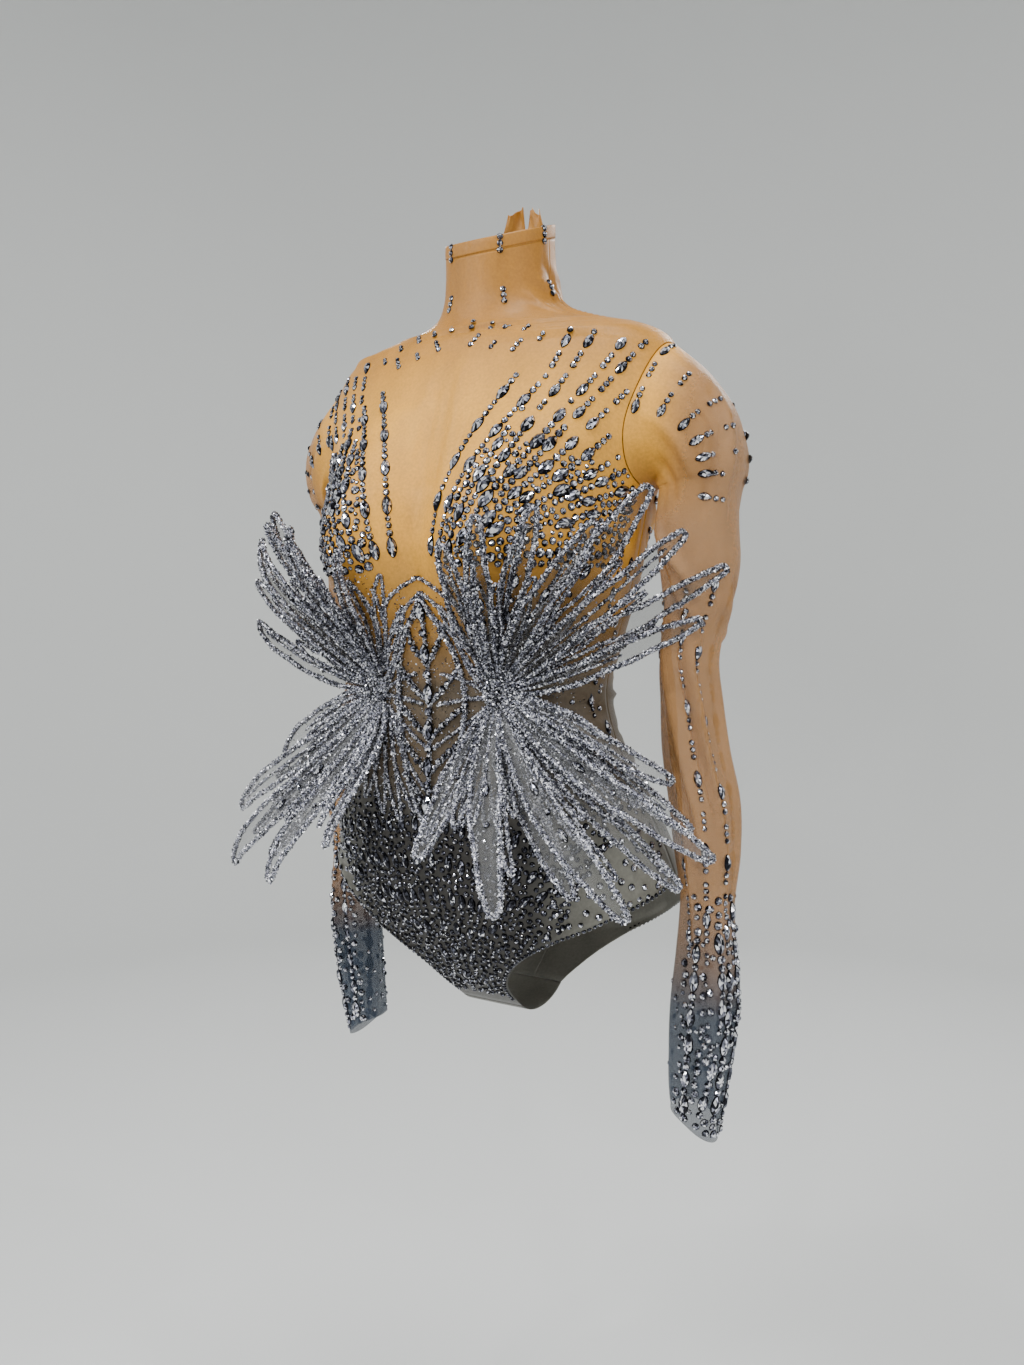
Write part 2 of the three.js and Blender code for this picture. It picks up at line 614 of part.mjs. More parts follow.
// A prism through one cell of the lattice, from front to back. The cell lies between two chevrons.
function latticeCell(i, side) {
  const { first, pitch, drop, top, cord, rim, centre } = LATTICE;
  const { firstRow, lastRow } = APPLIQUE;
  const height = along(TORSO, "z", firstRow) - along(TORSO, "z", lastRow);
  const halfCord = cord / 2 / height;
  const corner = (across, down) => {
    let [share, row] = [across, 0];
    // The width and the height of a point depend on each other, and settle in a few rounds.
    for (let round = 0; round < 6; round++) {
      row = mix(firstRow, lastRow, Math.max(down + drop * (1 - share), top));
      const half = appliqueHalf(row);
      share = mix(centre / 2 / half, 1 - rim / half, across);
    }
    return new THREE.Vector2(side * share * appliqueHalf(row), along(TORSO, "z", row));
  };
  const [high, low] = [first + i * pitch + halfCord, first + (i + 1) * pitch - halfCord];
  const outline = [
    ...steps(0, 1, 4).map((across) => corner(across, low)),
    ...steps(low, high, 3).slice(1, -1).map((down) => corner(1, down)),
    ...steps(1, 0, 4).map((across) => corner(across, high)),
    ...steps(high, low, 3).slice(1, -1).map((down) => corner(0, down)),
  ];
  const through = 2 * Math.abs(TORSO[WAIST_ROW].front);
  const prism = new THREE.ExtrudeGeometry(new THREE.Shape(outline), { depth: through, bevelEnabled: false });
  prism.deleteAttribute("normal");
  prism.deleteAttribute("uv");
  return cuttable(mergeVertices(prism.rotateX(Math.PI / 2)));
}

// The applique lies on the front panel, with its cells cut through.
function applique() {
  const { firstRow, lastRow, thickness } = APPLIQUE;
  const low = WALL / 2 + LAY_GAP;
  const rows = [firstRow, ...panelRows.filter((row) => row > firstRow && row < lastRow), lastRow];
  const layer = (off) =>
    rows.map((row) => {
      const reach = Math.asin(appliqueHalf(row) / along(TORSO, "half", row)) / DEGREE / 90;
      return steps(-1, 1, 8).map((u) => onFront(u * reach, row, off));
    });
  let solid = cuttable(solidFromGrids(layer(low + thickness), layer(low)));
  for (const [, side] of SIDES)
    for (let i = 0; i < LATTICE.cells; i++) solid = solid.subtract(latticeCell(i, side));
  const mesh = solid.getMesh();
  const geometry = new THREE.BufferGeometry();
  geometry.setAttribute("position", new THREE.Float32BufferAttribute(mesh.vertProperties, 3));
  geometry.setIndex([...mesh.triVerts]);
  return geometry;
}

const wasm = await Module();
wasm.setup();

const group = new THREE.Group();
const MATERIALS = {
  net: { color: 0xcfa27c, roughness: 0.55, metalness: 0 },
  organza: { color: 0x8d9196, roughness: 0.4, metalness: 0.3 },
  crystal: { color: 0xc9ccd8, roughness: 0.15, metalness: 0.8 },
  tape: { color: 0xb98d68, roughness: 0.7, metalness: 0 },
};
function add(name, geometry, material) {
  const mesh = new THREE.Mesh(geometry, new THREE.MeshStandardMaterial(MATERIALS[material]));
  mesh.name = name;
  group.add(mesh);
}

add("front_body", frontPanel(), "net");
add("gusset", gusset(), "net");
add("neck_band", neckBand(), "net");
add("closure_tape", closureTape(), "tape");
add("waist_applique", applique(), "organza");
for (const [name, side] of SIDES) {
  add(`back_body_${name}`, backPanel(side), "net");
  add(`closure_end_${name}`, closureEnd(side), "net");
  add(`sleeve_${name}`, sleeve(side), "net");
  add(`boss_${name}`, boss(side), "crystal");
  for (const [fan, rows] of Object.entries(PETALS))
    rows.forEach((_, i) => add(`petal_${fan}_${name}_${i + 1}`, petal(fan, i, side), "organza"));
}

export default group;
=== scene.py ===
"""A rhinestone stage bodysuit: fine cloth, petals, cords and cut stones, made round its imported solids.

Lengths in the tables and shape functions are millimetres, as in the part's own drawing. The meshes are
made in metres. +X is the wearer's left, -Y the front and +Z up.
"""

import math

import bpy
import numpy as np
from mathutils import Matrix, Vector


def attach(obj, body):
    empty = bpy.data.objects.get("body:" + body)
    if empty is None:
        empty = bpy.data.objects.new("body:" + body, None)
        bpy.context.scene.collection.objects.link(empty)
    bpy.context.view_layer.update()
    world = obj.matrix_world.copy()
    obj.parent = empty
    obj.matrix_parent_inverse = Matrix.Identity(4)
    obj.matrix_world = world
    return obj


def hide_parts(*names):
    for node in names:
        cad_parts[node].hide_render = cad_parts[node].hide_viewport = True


bl_info = {
    "name": "Stage bodysuit",
    "version": (1, 0, 0),
    "blender": (4, 5, 0),
    "location": "View3D > Sidebar > Bodysuit",
    "description": "Makes a worn, hollow stage bodysuit with stones and glittered petals",
    "category": "Add Mesh",
}

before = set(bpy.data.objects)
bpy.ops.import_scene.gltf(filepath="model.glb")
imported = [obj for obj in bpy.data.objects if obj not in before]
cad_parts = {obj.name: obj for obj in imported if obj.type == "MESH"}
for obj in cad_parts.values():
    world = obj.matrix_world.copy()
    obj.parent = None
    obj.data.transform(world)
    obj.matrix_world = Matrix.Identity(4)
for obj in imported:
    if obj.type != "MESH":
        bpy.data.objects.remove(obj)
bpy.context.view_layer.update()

MM = 0.001
SIDES = {"left": 1, "right": -1}
# Half the wall in the drawing: how far the outer face lies from the middle of the net.
SKIN = 0.75


def table(columns, *rows):
    """Named columns of a table, as arrays."""
    return dict(zip(columns, np.array(rows, float).T))


# Torso sections from the collar seam down to the crotch.
TORSO = table(
    ("z", "half", "front", "back", "slant"),
    (67, 49.5, -51, 45, 0.4),
    (45, 50, -51, 47, 0.36),
    (22, 53, -52, 51, 0.28),
    (3, 64, -56, 57, 0.18),
    (-11, 98, -62, 63, 0.1),
    (-22, 142, -70, 69, 0.04),
    (-42, 169, -80, 74, 0),
    (-87, 178, -100, 82, 0),
    (-126, 170, -113, 87, 0),
    (-165, 154, -120, 88, 0),
    (-205, 147, -124, 85, 0),
    (-245, 141, -126, 76, 0),
    (-289, 131, -122, 60, 0),
    (-333, 122, -116, 50, 0),
    (-373, 128, -116, 60, 0),
    (-413, 143, -118, 80, 0),
    (-454, 160, -118, 102, 0),
    (-494, 172, -113, 117, 0),
    (-528, 176, -101, 122, 0),
    (-562, 176, -82, 117, 0),
    (-596, 172, -55, 98, 0),
    (-626, 166, -18, 60, 0),
)
SHOULDER_ROW, ARMPIT_ROW, WAIST_ROW, LEG_ROW, LAST_ROW = 6, 9, 13, 17, 21
CUP = {"x": 79, "z": -207, "spread_x": 60, "spread_up": 80, "spread_down": 52, "depth": 50, "round": 1.15}
ARMHOLE_CUT = {"front": 30, "back": 27}
LEG_POWER = {"front": 2.8, "back": 1.5}
GUSSET = {"angle": 11, "curve": 26}
SEAM_GAP = 0.3
BAND = {"height": 12, "lift": 0.4}
# How a panel is divided: rows above the armhole, beside it, below it and beside the leg.
PANEL_ROWS = (32, 24, 70, 24)
# The outermost place of a stone on a panel, seen from the front, and the last rows that hold any.
STONE_LIMITS = {"sine": 0.985, "row": 20.6, "leg_row": 20.7, "leg_margin": 3.6}
CLOSURE = {"width": 9, "low": 1.5, "high": 2.4, "last_row": 14}
CLOSURE_END = {"rise": 21, "width": 20, "start": 1.2, "taper": 0.25, "depth": 3, "waves": 9, "curl": 7}

# Sleeve sections below the cap. The right sleeve hangs closer in (tuck) and further back.
SLEEVE = table(
    ("z", "x", "y", "half_x", "half_y", "fold", "tuck", "back"),
    (-196, 191, -3, 33, 39, 0.04, 12, 12),
    (-226, 193, -3, 32, 36, 0.05, 12, 16),
    (-254, 191, -2, 28, 32, 0.08, 11, 20),
    (-280, 186, -1, 22, 27, 0.13, 8, 24),
    (-309, 182, 0, 19, 23, 0.15, 7, 26),
    (-343, 185, 1, 19, 22, 0.15, 6, 28),
    (-385, 190, 1, 21, 23, 0.12, 3, 30),
    (-426, 198, 0, 23, 26, 0.1, 0, 32),
    (-468, 201, 0, 23, 26, 0.08, -1, 33),
    (-510, 202, 0, 20, 22, 0.1, 0, 34),
    (-552, 204, 0, 22, 26, 0.08, 2, 35),
    (-594, 204, 0, 25, 29, 0.06, 4, 36),
    (-636, 201, 0, 24, 28, 0.06, 5, 36),
    (-672, 196, 0, 21, 25, 0.05, 5, 36),
    (-690, 193, 0, 19, 23, 0.04, 5, 36),
)
SLEEVE_FOLDS, FOLD_TWIST, RIGHT_SLIM = 3, 0.35, 0.86
CAP = {"rings": 6, "start": 124, "end": 62, "flare": -0.06, "depth": 42, "middle": -12, "leave": 0.45}
CAP_TURN = {"x": 157, "z": -167, "radius": 6}
# How far the creases reach round a cap, and how far round the right sleeve's are moved.
CAP_HALF, RIGHT_TURN = 40, 20
HAND_POINT = {"drop": 25, "sharpness": 1.6, "rows": 2}
LAST_RING = CAP["rings"] + len(SLEEVE["z"])

BOSS = {"angle": 29.5, "radius": 12, "thickness": 11, "foot": 0.9}
PETAL = {"root_half": 1.9, "lift": 3.4, "layer_rise": 4, "reach": 0.3, "bend": 0.7, "fill": 0.85}
FINGER = {"width": 0.68, "power": 0.62}
# Shares of crumb faces with painted dark reflections and painted glints on the cords of each fan.
CORD_REFLECTIONS = {"upper": {"dark": 0.56, "bright": 0.19}, "lower": {"dark": 0.26, "bright": 0.4}}
# The same shares for other crumbs, and for those strewn over the webs.
CRUMB_REFLECTIONS = (0.36, 0.3)
WEB_REFLECTIONS = (0.62, 0.14)
# Crumbs for each millimetre of the webs that hold the most.
DUST = {"upper": 1.5, "lower": 2.2}
# Loops between neighbouring petals: their place between the two, and their shortest and longest reach.
INNER_LOOPS = {"upper": ((0.5, 0.5, 0.8),), "lower": ((0.35, 0.5, 0.66), (0.68, 0.66, 0.84))}
FAN = {"pitch": 14.5, "upper": 112, "lower": -14}
LOWER_LAYER = {"upper": (1, 3, 5, 7), "lower": (2, 4, 6, 8)}
# Each petal's tip, bow and widest half width; how densely glitter covers its web, and its stones.
PETAL_COLUMNS = ("x", "y", "z", "bow", "half", "dusted", "stones")
PETALS = {
    "upper": table(
        PETAL_COLUMNS,
        (50, -175, -218, 20, 11, 0.95, 2),
        (90, -188, -199, 30, 12, 0.9, 3),
        (130, -172, -193, 16, 13, 0.8, 3),
        (165, -142, -203, 36, 13, 0.6, 2),
        (190, -100, -174, 12, 18, 0.3, 3),
        (215, -92, -209, 26, 13, 0.2, 1),
        (240, -70, -235, 10, 12, 0.15, 0),
        (225, -84, -275, 22, 11, 0.15, 0),
    ),
    "lower": table(
        PETAL_COLUMNS,
        (200, -76, -400, 16, 11, 0.5, 0),
        (210, -62, -440, 8, 13, 0.35, 1),
        (240, -95, -454, 24, 14, 0.3, 2),
        (215, -98, -478, 10, 13, 0.4, 1),
        (195, -150, -493, 34, 16, 0.3, 3),
        (150, -150, -482, 8, 14, 0.4, 1),
        (110, -195, -491, 28, 17, 0.3, 2),
        (45, -200, -454, 8, 14, 0.5, 1),
    ),
}
APPLIQUE = {"first_row": 11.2, "last_row": 16, "low": 1.5}
APPLIQUE_WIDTHS = np.array([3, 24, 34, 34, 28, 18, 3], float)
LATTICE = {"chevrons": 5, "first": -0.06, "pitch": 0.16, "drop": 0.17, "inset": 2.0, "stone_lift": 4.4}
LATTICE_CORDS = {"rim": 2.2, "middle": 1.8, "chevron": 1.7}

# Creases of the torso: from an angle and row to another, how far the line bows to one side, its half
# width and its height. Troughs have a height below zero. Angles run from the centre front to the back.
CREASE_COLUMNS = ("angle_0", "row_0", "angle_1", "row_1", "bow", "width", "height")
TORSO_CREASES = table(
    CREASE_COLUMNS,
    (-42, 4.5, 34, 4.7, 7, 5, 1.3),
    (-20, 5.2, 58, 5.0, 6, 6, -1.2),
    (8, 5.7, 72, 5.5, -5, 5, 1.1),
    (-78, 5.3, -30, 5.2, -5, 5, 1.0),
    (62, 1.4, 74, 4.6, 5, 4, 1.4),
    (76, 0.8, 84, 4.4, -4, 4, -1.3),
    (50, 2.0, 61, 4.3, 3, 3.5, 0.9),
    (-70, 1.8, -80, 4.5, 4, 4, 1.2),
    (-52, 2.6, -60, 4.2, -3, 3.5, -0.8),
    (4, 6.3, 9, 9.6, 5, 5, 1.5),
    (-2, 6.6, 1, 9.2, -4, 5, -1.2),
    (-16, 7.3, 3, 6.9, -4, 4, 1.0),
    (-24, 6.9, -14, 9.4, 3, 5, 0.8),
    (84, 9.3, 50, 10.1, 6, 5, 1.6),
    (87, 9.7, 58, 10.9, 5, 4.5, -1.4),
    (80, 10.3, 60, 11.5, 4, 5, 1.2),
    (-84, 9.3, -54, 9.9, -6, 5, 1.6),
    (-86, 9.9, -60, 11.1, -5, 4.5, -1.3),
    (89, 11.7, 60, 12.3, 4, 4, 1.5),
    (86, 12.3, 56, 12.7, 3, 3.5, -1.3),
    (90, 12.8, 62, 13.0, -3, 4, 1.6),
    (88, 13.4, 58, 13.3, -4, 3.5, -1.4),
    (90, 13.9, 64, 13.7, -3, 4, 1.3),
    (84, 14.5, 60, 14.1, -4, 5, 1.0),
    (-89, 11.9, -64, 12.3, 4, 4, 1.5),
    (-84, 12.5, -58, 12.8, 3, 3.5, -1.4),
    (-90, 13.1, -60, 13.1, -3, 4, 1.4),
    (-86, 13.7, -62, 13.5, -4, 4, -1.2),
    (-88, 14.2, -66, 14.0, -3, 4, 1.2),
    (24, 18.9, 70, 17.1, 6, 6, 1.2),
    (16, 19.6, 44, 18.0, 5, 5, -1.0),
    (-22, 18.8, -66, 17.0, -6, 6, 1.2),
    (-14, 19.5, -46, 18.1, -5, 5, 0.9),
    (96, 1.2, 104, 4.4, 4, 4, 1.2),
    (118, 1.6, 128, 4.6, -4, 4, -1.0),
    (-98, 1.0, -108, 4.5, -4, 4, 1.1),
    (-122, 2.0, -130, 4.5, 4, 4, -0.9),
    (112, 5.0, 160, 5.3, 6, 6, 1.2),
    (-116, 5.1, -162, 5.2, 6, 6, 1.1),
    (100, 9.2, 132, 10.4, 6, 5, 1.6),
    (96, 9.8, 124, 11.3, 5, 5, -1.3),
    (-99, 9.2, -134, 10.3, -6, 5, 1.5),
    (-95, 9.7, -126, 11.2, -5, 5, -1.3),
    (172, 8.0, 150, 10.5, 5, 6, 0.9),
    (-172, 8.2, -152, 10.8, -5, 6, 0.9),
    (93, 12.0, 160, 12.5, 5, 4.5, 1.6),
    (98, 12.6, 168, 13.0, 4, 4, -1.5),
    (92, 13.1, 164, 13.5, 4, 4.5, 1.7),
    (100, 13.8, 156, 14.0, -4, 4, -1.3),
    (95, 14.4, 150, 14.6, -4, 5, 1.1),
    (-94, 12.2, -162, 12.6, -5, 4.5, 1.5),
    (-99, 12.8, -170, 13.2, -4, 4, -1.5),
    (-93, 13.3, -158, 13.6, -4, 4.5, 1.6),
    (-98, 14.0, -166, 14.2, 4, 4, -1.2),
    (176, 16.4, 150, 18.6, -6, 6, -1.3),
    (-176, 16.5, -152, 18.8, 6, 6, -1.3),
    (168, 19.6, 130, 18.4, 6, 6, 1.1),
    (-168, 19.5, -132, 18.3, -6, 6, 1.1),
)
TORSO_DEPTH, SLEEVE_DEPTH, SLEEVE_SPREAD = 2.9, 2.8, 1.15
# Creases of a sleeve: from a turn and ring to another. Turns run from the top over the front.
SLEEVE_CREASES = table(
    CREASE_COLUMNS,
    (12, 2.0, 26, 7.4, 8, 5, 1.4),
    (52, 1.4, 60, 6.8, -8, 5, -1.5),
    (88, 1.2, 78, 5.6, 8, 4.5, 1.5),
    (120, 2.2, 100, 6.6, 6, 4.5, -1.3),
    (144, 3.0, 118, 7.6, 4, 4, 1.4),
    (310, 1.6, 322, 7.0, 6, 5, 1.4),
    (270, 1.4, 280, 6.4, -6, 5, -1.4),
    (232, 2.4, 250, 7.0, 5, 4.5, 1.3),
    (128, 6.9, 46, 9.4, 10, 5, 2.6),
    (140, 7.6, 60, 10.4, 8, 4, -2.2),
    (120, 8.6, 28, 10.9, -8, 4, 2.2),
    (20, 8.2, -30, 10.4, 8, 5, 2.0),
    (230, 7.6, 300, 10.2, 8, 5, 2.2),
    (112, 8.8, 62, 15.6, 12, 4, 3.0),
    (84, 9.4, 34, 14.8, 6, 3.5, -2.6),
    (56, 10.0, 16, 16.2, 8, 3.5, 2.4),
    (136, 9.6, 104, 17.2, -10, 3.5, 2.2),
    (160, 9.2, 134, 15.0, 8, 4, -2.2),
    (196, 9.4, 186, 16.0, -10, 4, 2.4),
    (232, 9.8, 218, 15.2, 8, 3.5, -2.2),
    (262, 9.2, 250, 16.4, 10, 4, 2.4),
    (300, 9.6, 288, 15.6, -8, 3.5, -2.2),
    (332, 9.4, 322, 16.8, 8, 4, 2.2),
    (30, 15.6, 60, 19.8, 8, 4, 1.6),
    (76, 16.0, 96, 20.4, -6, 4, -1.5),
    (150, 15.8, 140, 20.6, 8, 4, 1.6),
    (210, 16.2, 222, 20.2, -6, 4, -1.5),
    (290, 16.0, 304, 20.4, 8, 4, 1.6),
)


class ClothSettings(bpy.types.PropertyGroup):
    """The net and tape."""

    wall: bpy.props.FloatProperty(
        name="Cloth thickness", description="Thickness of the net", default=0.0005, unit="LENGTH"
    )
    weave: bpy.props.FloatProperty(
        name="Weave pitch", description="Distance between the net's ribs", default=0.0011, unit="LENGTH"
    )
    nude: bpy.props.FloatVectorProperty(
        name="Net colour", description="The net at the chest", subtype="COLOR", default=(0.66, 0.31, 0.032)
    )
    neck: bpy.props.FloatVectorProperty(
        name="Neck colour", description="The net at the neck", subtype="COLOR", default=(0.34, 0.145, 0.016)
    )
    # Painted shade: the waist colour is darkened for the shadow under the petals, over the net's own darker
    # olive tone.
    waist: bpy.props.FloatVectorProperty(
        name="Waist colour", description="The net at the waist", subtype="COLOR", default=(0.095, 0.07, 0.044)
    )
    hip: bpy.props.FloatVectorProperty(
        name="Hip colour", description="The net at the hips", subtype="COLOR", default=(0.17, 0.165, 0.14)
    )
    brief: bpy.props.FloatVectorProperty(
        name="Brief colour",
        description="The net under the close stones",
        subtype="COLOR",
        default=(0.028, 0.025, 0.022),
    )
    sleeve: bpy.props.FloatVectorProperty(
        name="Sleeve colour", description="The net of the arms", subtype="COLOR", default=(0.46, 0.235, 0.085)
    )
    cuff: bpy.props.FloatVectorProperty(
        name="Cuff colour", description="The net at the hands", subtype="COLOR", default=(0.045, 0.062, 0.092)
    )


class StoneSettings(bpy.types.PropertyGroup):
    """The cut stones."""

    rise: bpy.props.FloatProperty(
        name="Height", description="Height of a stone as a share of its width", default=0.42, min=0.1, max=0.8
    )


class PetalSettings(bpy.types.PropertyGroup):
    """The petals and glitter cords."""

    cord: bpy.props.FloatProperty(
        name="Edge radius", description="Radius of the glitter edge", default=0.0021, unit="LENGTH"
    )
    crumb: bpy.props.FloatProperty(
        name="Glitter size", description="Width of a glitter crumb", default=0.00185, unit="LENGTH"
    )
    web: bpy.props.FloatVectorProperty(
        name="Web colour",
        description="The organza of the lower petals",
        subtype="COLOR",
        default=(0.15, 0.152, 0.155),
    )
    # Painted shade: the upper petals' organza is darker and browner for the shade behind and under the upper
    # fans.
    shaded_web_upper: bpy.props.FloatVectorProperty(
        name="Upper web colour",
        description="The organza of the upper petals",
        subtype="COLOR",
        default=(0.05, 0.044, 0.036),
    )


class StageSettings(bpy.types.PropertyGroup):
    """The floor and lights."""

    floor: bpy.props.FloatVectorProperty(
        name="Floor colour", description="The pale floor", subtype="COLOR", default=(0.66, 0.67, 0.66)
    )
    light: bpy.props.FloatProperty(
        name="Light", description="Strength of the lights", default=1.0, min=0.1, max=5.0
    )


def mix(a, b, share):
    """From a at share 0 to b at share 1."""
    return a + (b - a) * share


def eased(count, endpoint=True):
    """Shares from 0 to 1, closer together at both ends: half of one less the cosine of a half turn."""
    return (1 - np.cos(np.linspace(0, np.pi, count, endpoint=endpoint))) / 2


def unit(vectors):
    """The same directions, one long."""
    return vectors / np.maximum(np.linalg.norm(vectors, axis=-1, keepdims=True), 1e-9)


def along(values, at):
    """A smooth curve through evenly numbered values: uniform Catmull-Rom, by row number."""
    last = len(values) - 1
    i = np.clip(np.floor(at).astype(int), 0, last - 1)
    f = at - i
    p, q, r, s = (values[np.clip(i + k, 0, last)] for k in (-1, 0, 1, 2))
    rise, leave = (r - p) / 2, (s - q) / 2
    return q + f * (rise + f * (3 * (r - q) - 2 * rise - leave + f * (rise + leave - 2 * (r - q))))


def hump(share):
    """Rises from 0 to 1 in the middle and falls back to 0, and is 0 outside 0 to 1."""
    return np.sin(np.pi * np.clip(share, 0, 1)) ** 0.7


def smoothstep(value, low, high):
    """Rises smoothly from 0 at low to 1 at high."""
    share = np.clip((value - low) / (high - low), 0, 1)
    return share * share * (3 - 2 * share)


def cup_depth(x, z):
    """How far a cup pushes the front out: two soft squared bells, joined by their root mean square."""
    spread_z = np.where(z > CUP["z"], CUP["spread_up"], CUP["spread_down"])
    up = ((z - CUP["z"]) / spread_z) ** 2
    across = [((x - side * CUP["x"]) / CUP["spread_x"]) ** 2 for side in (1, -1)]
    bells = [np.exp(-((part + up) ** CUP["round"])) for part in across]
    return CUP["depth"] * np.hypot(*bells)


def torso(row, angle):
    """A point of the torso: an oval ring at each row, deeper in front or behind, with the cups pushed out."""
    half, front, back, z, slant = (along(TORSO[c], row) for c in ("half", "front", "back", "z", "slant"))
    cos = np.cos(np.radians(angle))
    x = half * np.sin(np.radians(angle))
    middle = (front + back) / 2
    y = middle - np.where(cos > 0, middle - front, back - middle) * cos
    y = y - cup_depth(x, z) * np.sqrt(np.clip(cos, 0, None))
    return np.stack([x, y, z + slant * y], axis=-1)


def torso_normal(row, angle):
    """Outward direction: the cross product of the ways down and across."""
    down = torso(row + 0.01, angle) - torso(row - 0.01, angle)
    across = torso(row, angle + 0.1) - torso(row, angle - 0.1)
    return unit(np.cross(down, across))


ROW_SCALE = np.linspace(0, LAST_ROW, 400)
Z_SCALE = along(TORSO["z"], ROW_SCALE)
DOWN_SCALE = np.concatenate(
    [[0], np.cumsum(np.linalg.norm(np.diff(torso(ROW_SCALE, np.full(400, 50.0)), axis=0), axis=1))]
)


def row_at(z):
    """The torso row at a height."""
    return np.interp(-z, -Z_SCALE, ROW_SCALE)


def cloth_place(row, angle):
    """Distance round and down the torso, in millimetres, for a row and an angle."""
    return np.radians(angle) * along(TORSO["half"], row), np.interp(row, ROW_SCALE, DOWN_SCALE)


def crease_profile(off, width):
    """A soft ridge with a slight dip on both sides."""
    q = (off / width) ** 2
    return np.exp(-q) * (1 - 0.5 * q)


def creases(made):
    """Each crease of a table, as its values in order."""
    return zip(*made.values())


def torso_creases(row, angle):
    """The sum of all creases: each is a bowed line that fades at both ends."""
    x, y = cloth_place(row, angle)
    total = np.zeros(np.shape(x))
    for angle_0, row_0, angle_1, row_1, bow, width, height in creases(TORSO_CREASES):
        (x_0, y_0), (x_1, y_1) = cloth_place(row_0, angle_0), cloth_place(row_1, angle_1)
        along_x, along_y = x_1 - x_0, y_1 - y_0
        length = math.hypot(along_x, along_y)
        share = ((x - x_0) * along_x + (y - y_0) * along_y) / length**2
        off = ((x - x_0) * along_y - (y - y_0) * along_x) / length - bow * hump(share)
        total += height * crease_profile(off, width) * hump(share)
    return total


def torso_skin(row, angle, lift=0.0):
    """The outer face of the cloth: the torso, moved out by the cloth's half wall, its creases and a lift."""
    normal = torso_normal(row, angle)
    out = SKIN + TORSO_DEPTH * torso_creases(row, angle) + lift
    return torso(row, angle) + normal * out[..., None], normal


def panel_edge(row, side):
    """The angle at which a panel ends: drawn in at the armhole and at the leg."""
    up = np.clip((row - SHOULDER_ROW) / (ARMPIT_ROW - SHOULDER_ROW), 0, 1)
    armhole = 90 - ARMHOLE_CUT[side] * np.sqrt(np.clip(1 - (2 * up - 1) ** 2, 0, 1))
    down = np.clip((row - LEG_ROW) / (LAST_ROW - LEG_ROW), 0, 1)
    return np.where(row > LEG_ROW, mix(GUSSET["angle"], 90, (1 - down) ** LEG_POWER[side]), armhole)


def panel_angle(share, row, side):
    """The angle at a share of a panel's half width. The armhole draws in the outer columns only."""
    edge = panel_edge(row, side)
    return np.where(row < ARMPIT_ROW, share * mix(90, edge, np.abs(share) ** 1.5), share * edge)


def panel_rows(neck, armhole, body, leg):
    """Rows down a panel, closer together round the armhole's ends and the leg."""
    return np.concatenate(
        [
            np.linspace(0, SHOULDER_ROW, neck, endpoint=False),
            mix(SHOULDER_ROW, ARMPIT_ROW, eased(armhole, endpoint=False)),
            np.linspace(ARMPIT_ROW, LEG_ROW, body, endpoint=False),
            mix(LEG_ROW, LAST_ROW, np.linspace(0, 1, leg) ** 1.35),
        ]
    )


def armhole_edge(turn):
    """The sleeve's first ring: the panels' edge, drawn a little to the armhole's middle."""
    row = mix(SHOULDER_ROW, ARMPIT_ROW, (1 - np.cos(turn)) / 2)
    angle = np.where(np.sin(turn) >= 0, panel_edge(row, "front"), 180 - panel_edge(row, "back"))
    point = torso(row, angle)
    middle = torso(np.array((SHOULDER_ROW + ARMPIT_ROW) / 2), np.array(90.0))
    return point + unit(middle - point) * (SKIN + SEAM_GAP)


def sleeve_ring(degrees, ring, side):
    """A point of the left sleeve's whole rings: the cap fans out round the armpit, the rest hangs."""
    turn = np.radians(degrees)
    c, s = np.cos(turn), np.sin(turn)
    right = side < 0
    slim = RIGHT_SLIM if right else 1
    share = np.clip(ring / CAP["rings"], 0, 1)
    lean = share * np.pi / 2
    reach = CAP_TURN["radius"] + mix(CAP["start"], CAP["end"], share) / 2 * (1 + c)
    flare = 1 + CAP["flare"] * np.sin(np.pi * share)
    first = {name: values[0] for name, values in SLEEVE.items()}
    fan = np.stack(
        [
            CAP_TURN["x"] + reach * np.sin(lean) * flare * slim,
            mix(CAP["middle"], first["y"], share) - mix(CAP["depth"], first["half_y"], share) * s,
            CAP_TURN["z"] + reach * np.cos(lean) * flare,
        ],
        axis=-1,
    )
    if right:
        drift = np.stack([-first["tuck"] * (1 + c) / 2, first["back"] + 0 * c, 0 * c], axis=-1)
        fan = fan + drift * (share**2)[..., None]
    cap = mix(armhole_edge(turn), fan, smoothstep(share, 0, CAP["leave"])[..., None])
    at = np.clip(ring - CAP["rings"] - 1, 0, None)
    get = {name: along(values, at) for name, values in SLEEVE.items()}
    fold = 1 + get["fold"] * np.cos(SLEEVE_FOLDS * turn + at * FOLD_TWIST)
    last = len(SLEEVE["z"]) - 1
    drop = HAND_POINT["drop"] * np.clip((at - last + HAND_POINT["rows"]) / HAND_POINT["rows"], 0, None)
    hang = np.stack(
        [
            get["x"] - right * get["tuck"] + get["half_x"] * c * fold * slim,
            get["y"] + right * get["back"] - get["half_y"] * s * fold,
            get["z"] - drop * ((1 + c) / 2) ** HAND_POINT["sharpness"],
        ],
        axis=-1,
    )
    return np.where((ring <= CAP["rings"])[..., None], cap, hang)


def sleeve(degrees, ring, side):
    """A point of the left sleeve at any ring: a smooth curve down through its whole rings."""
    i = np.clip(np.floor(ring), 0, LAST_RING - 1)
    f = (ring - i)[..., None]
    p, q, r, s = (sleeve_ring(degrees, np.clip(i + k, 0, LAST_RING), side) for k in (-1, 0, 1, 2))
    rise, leave = (r - p) / 2, (s - q) / 2
    return q + f * (rise + f * (3 * (r - q) - 2 * rise - leave + f * (rise + leave - 2 * (r - q))))


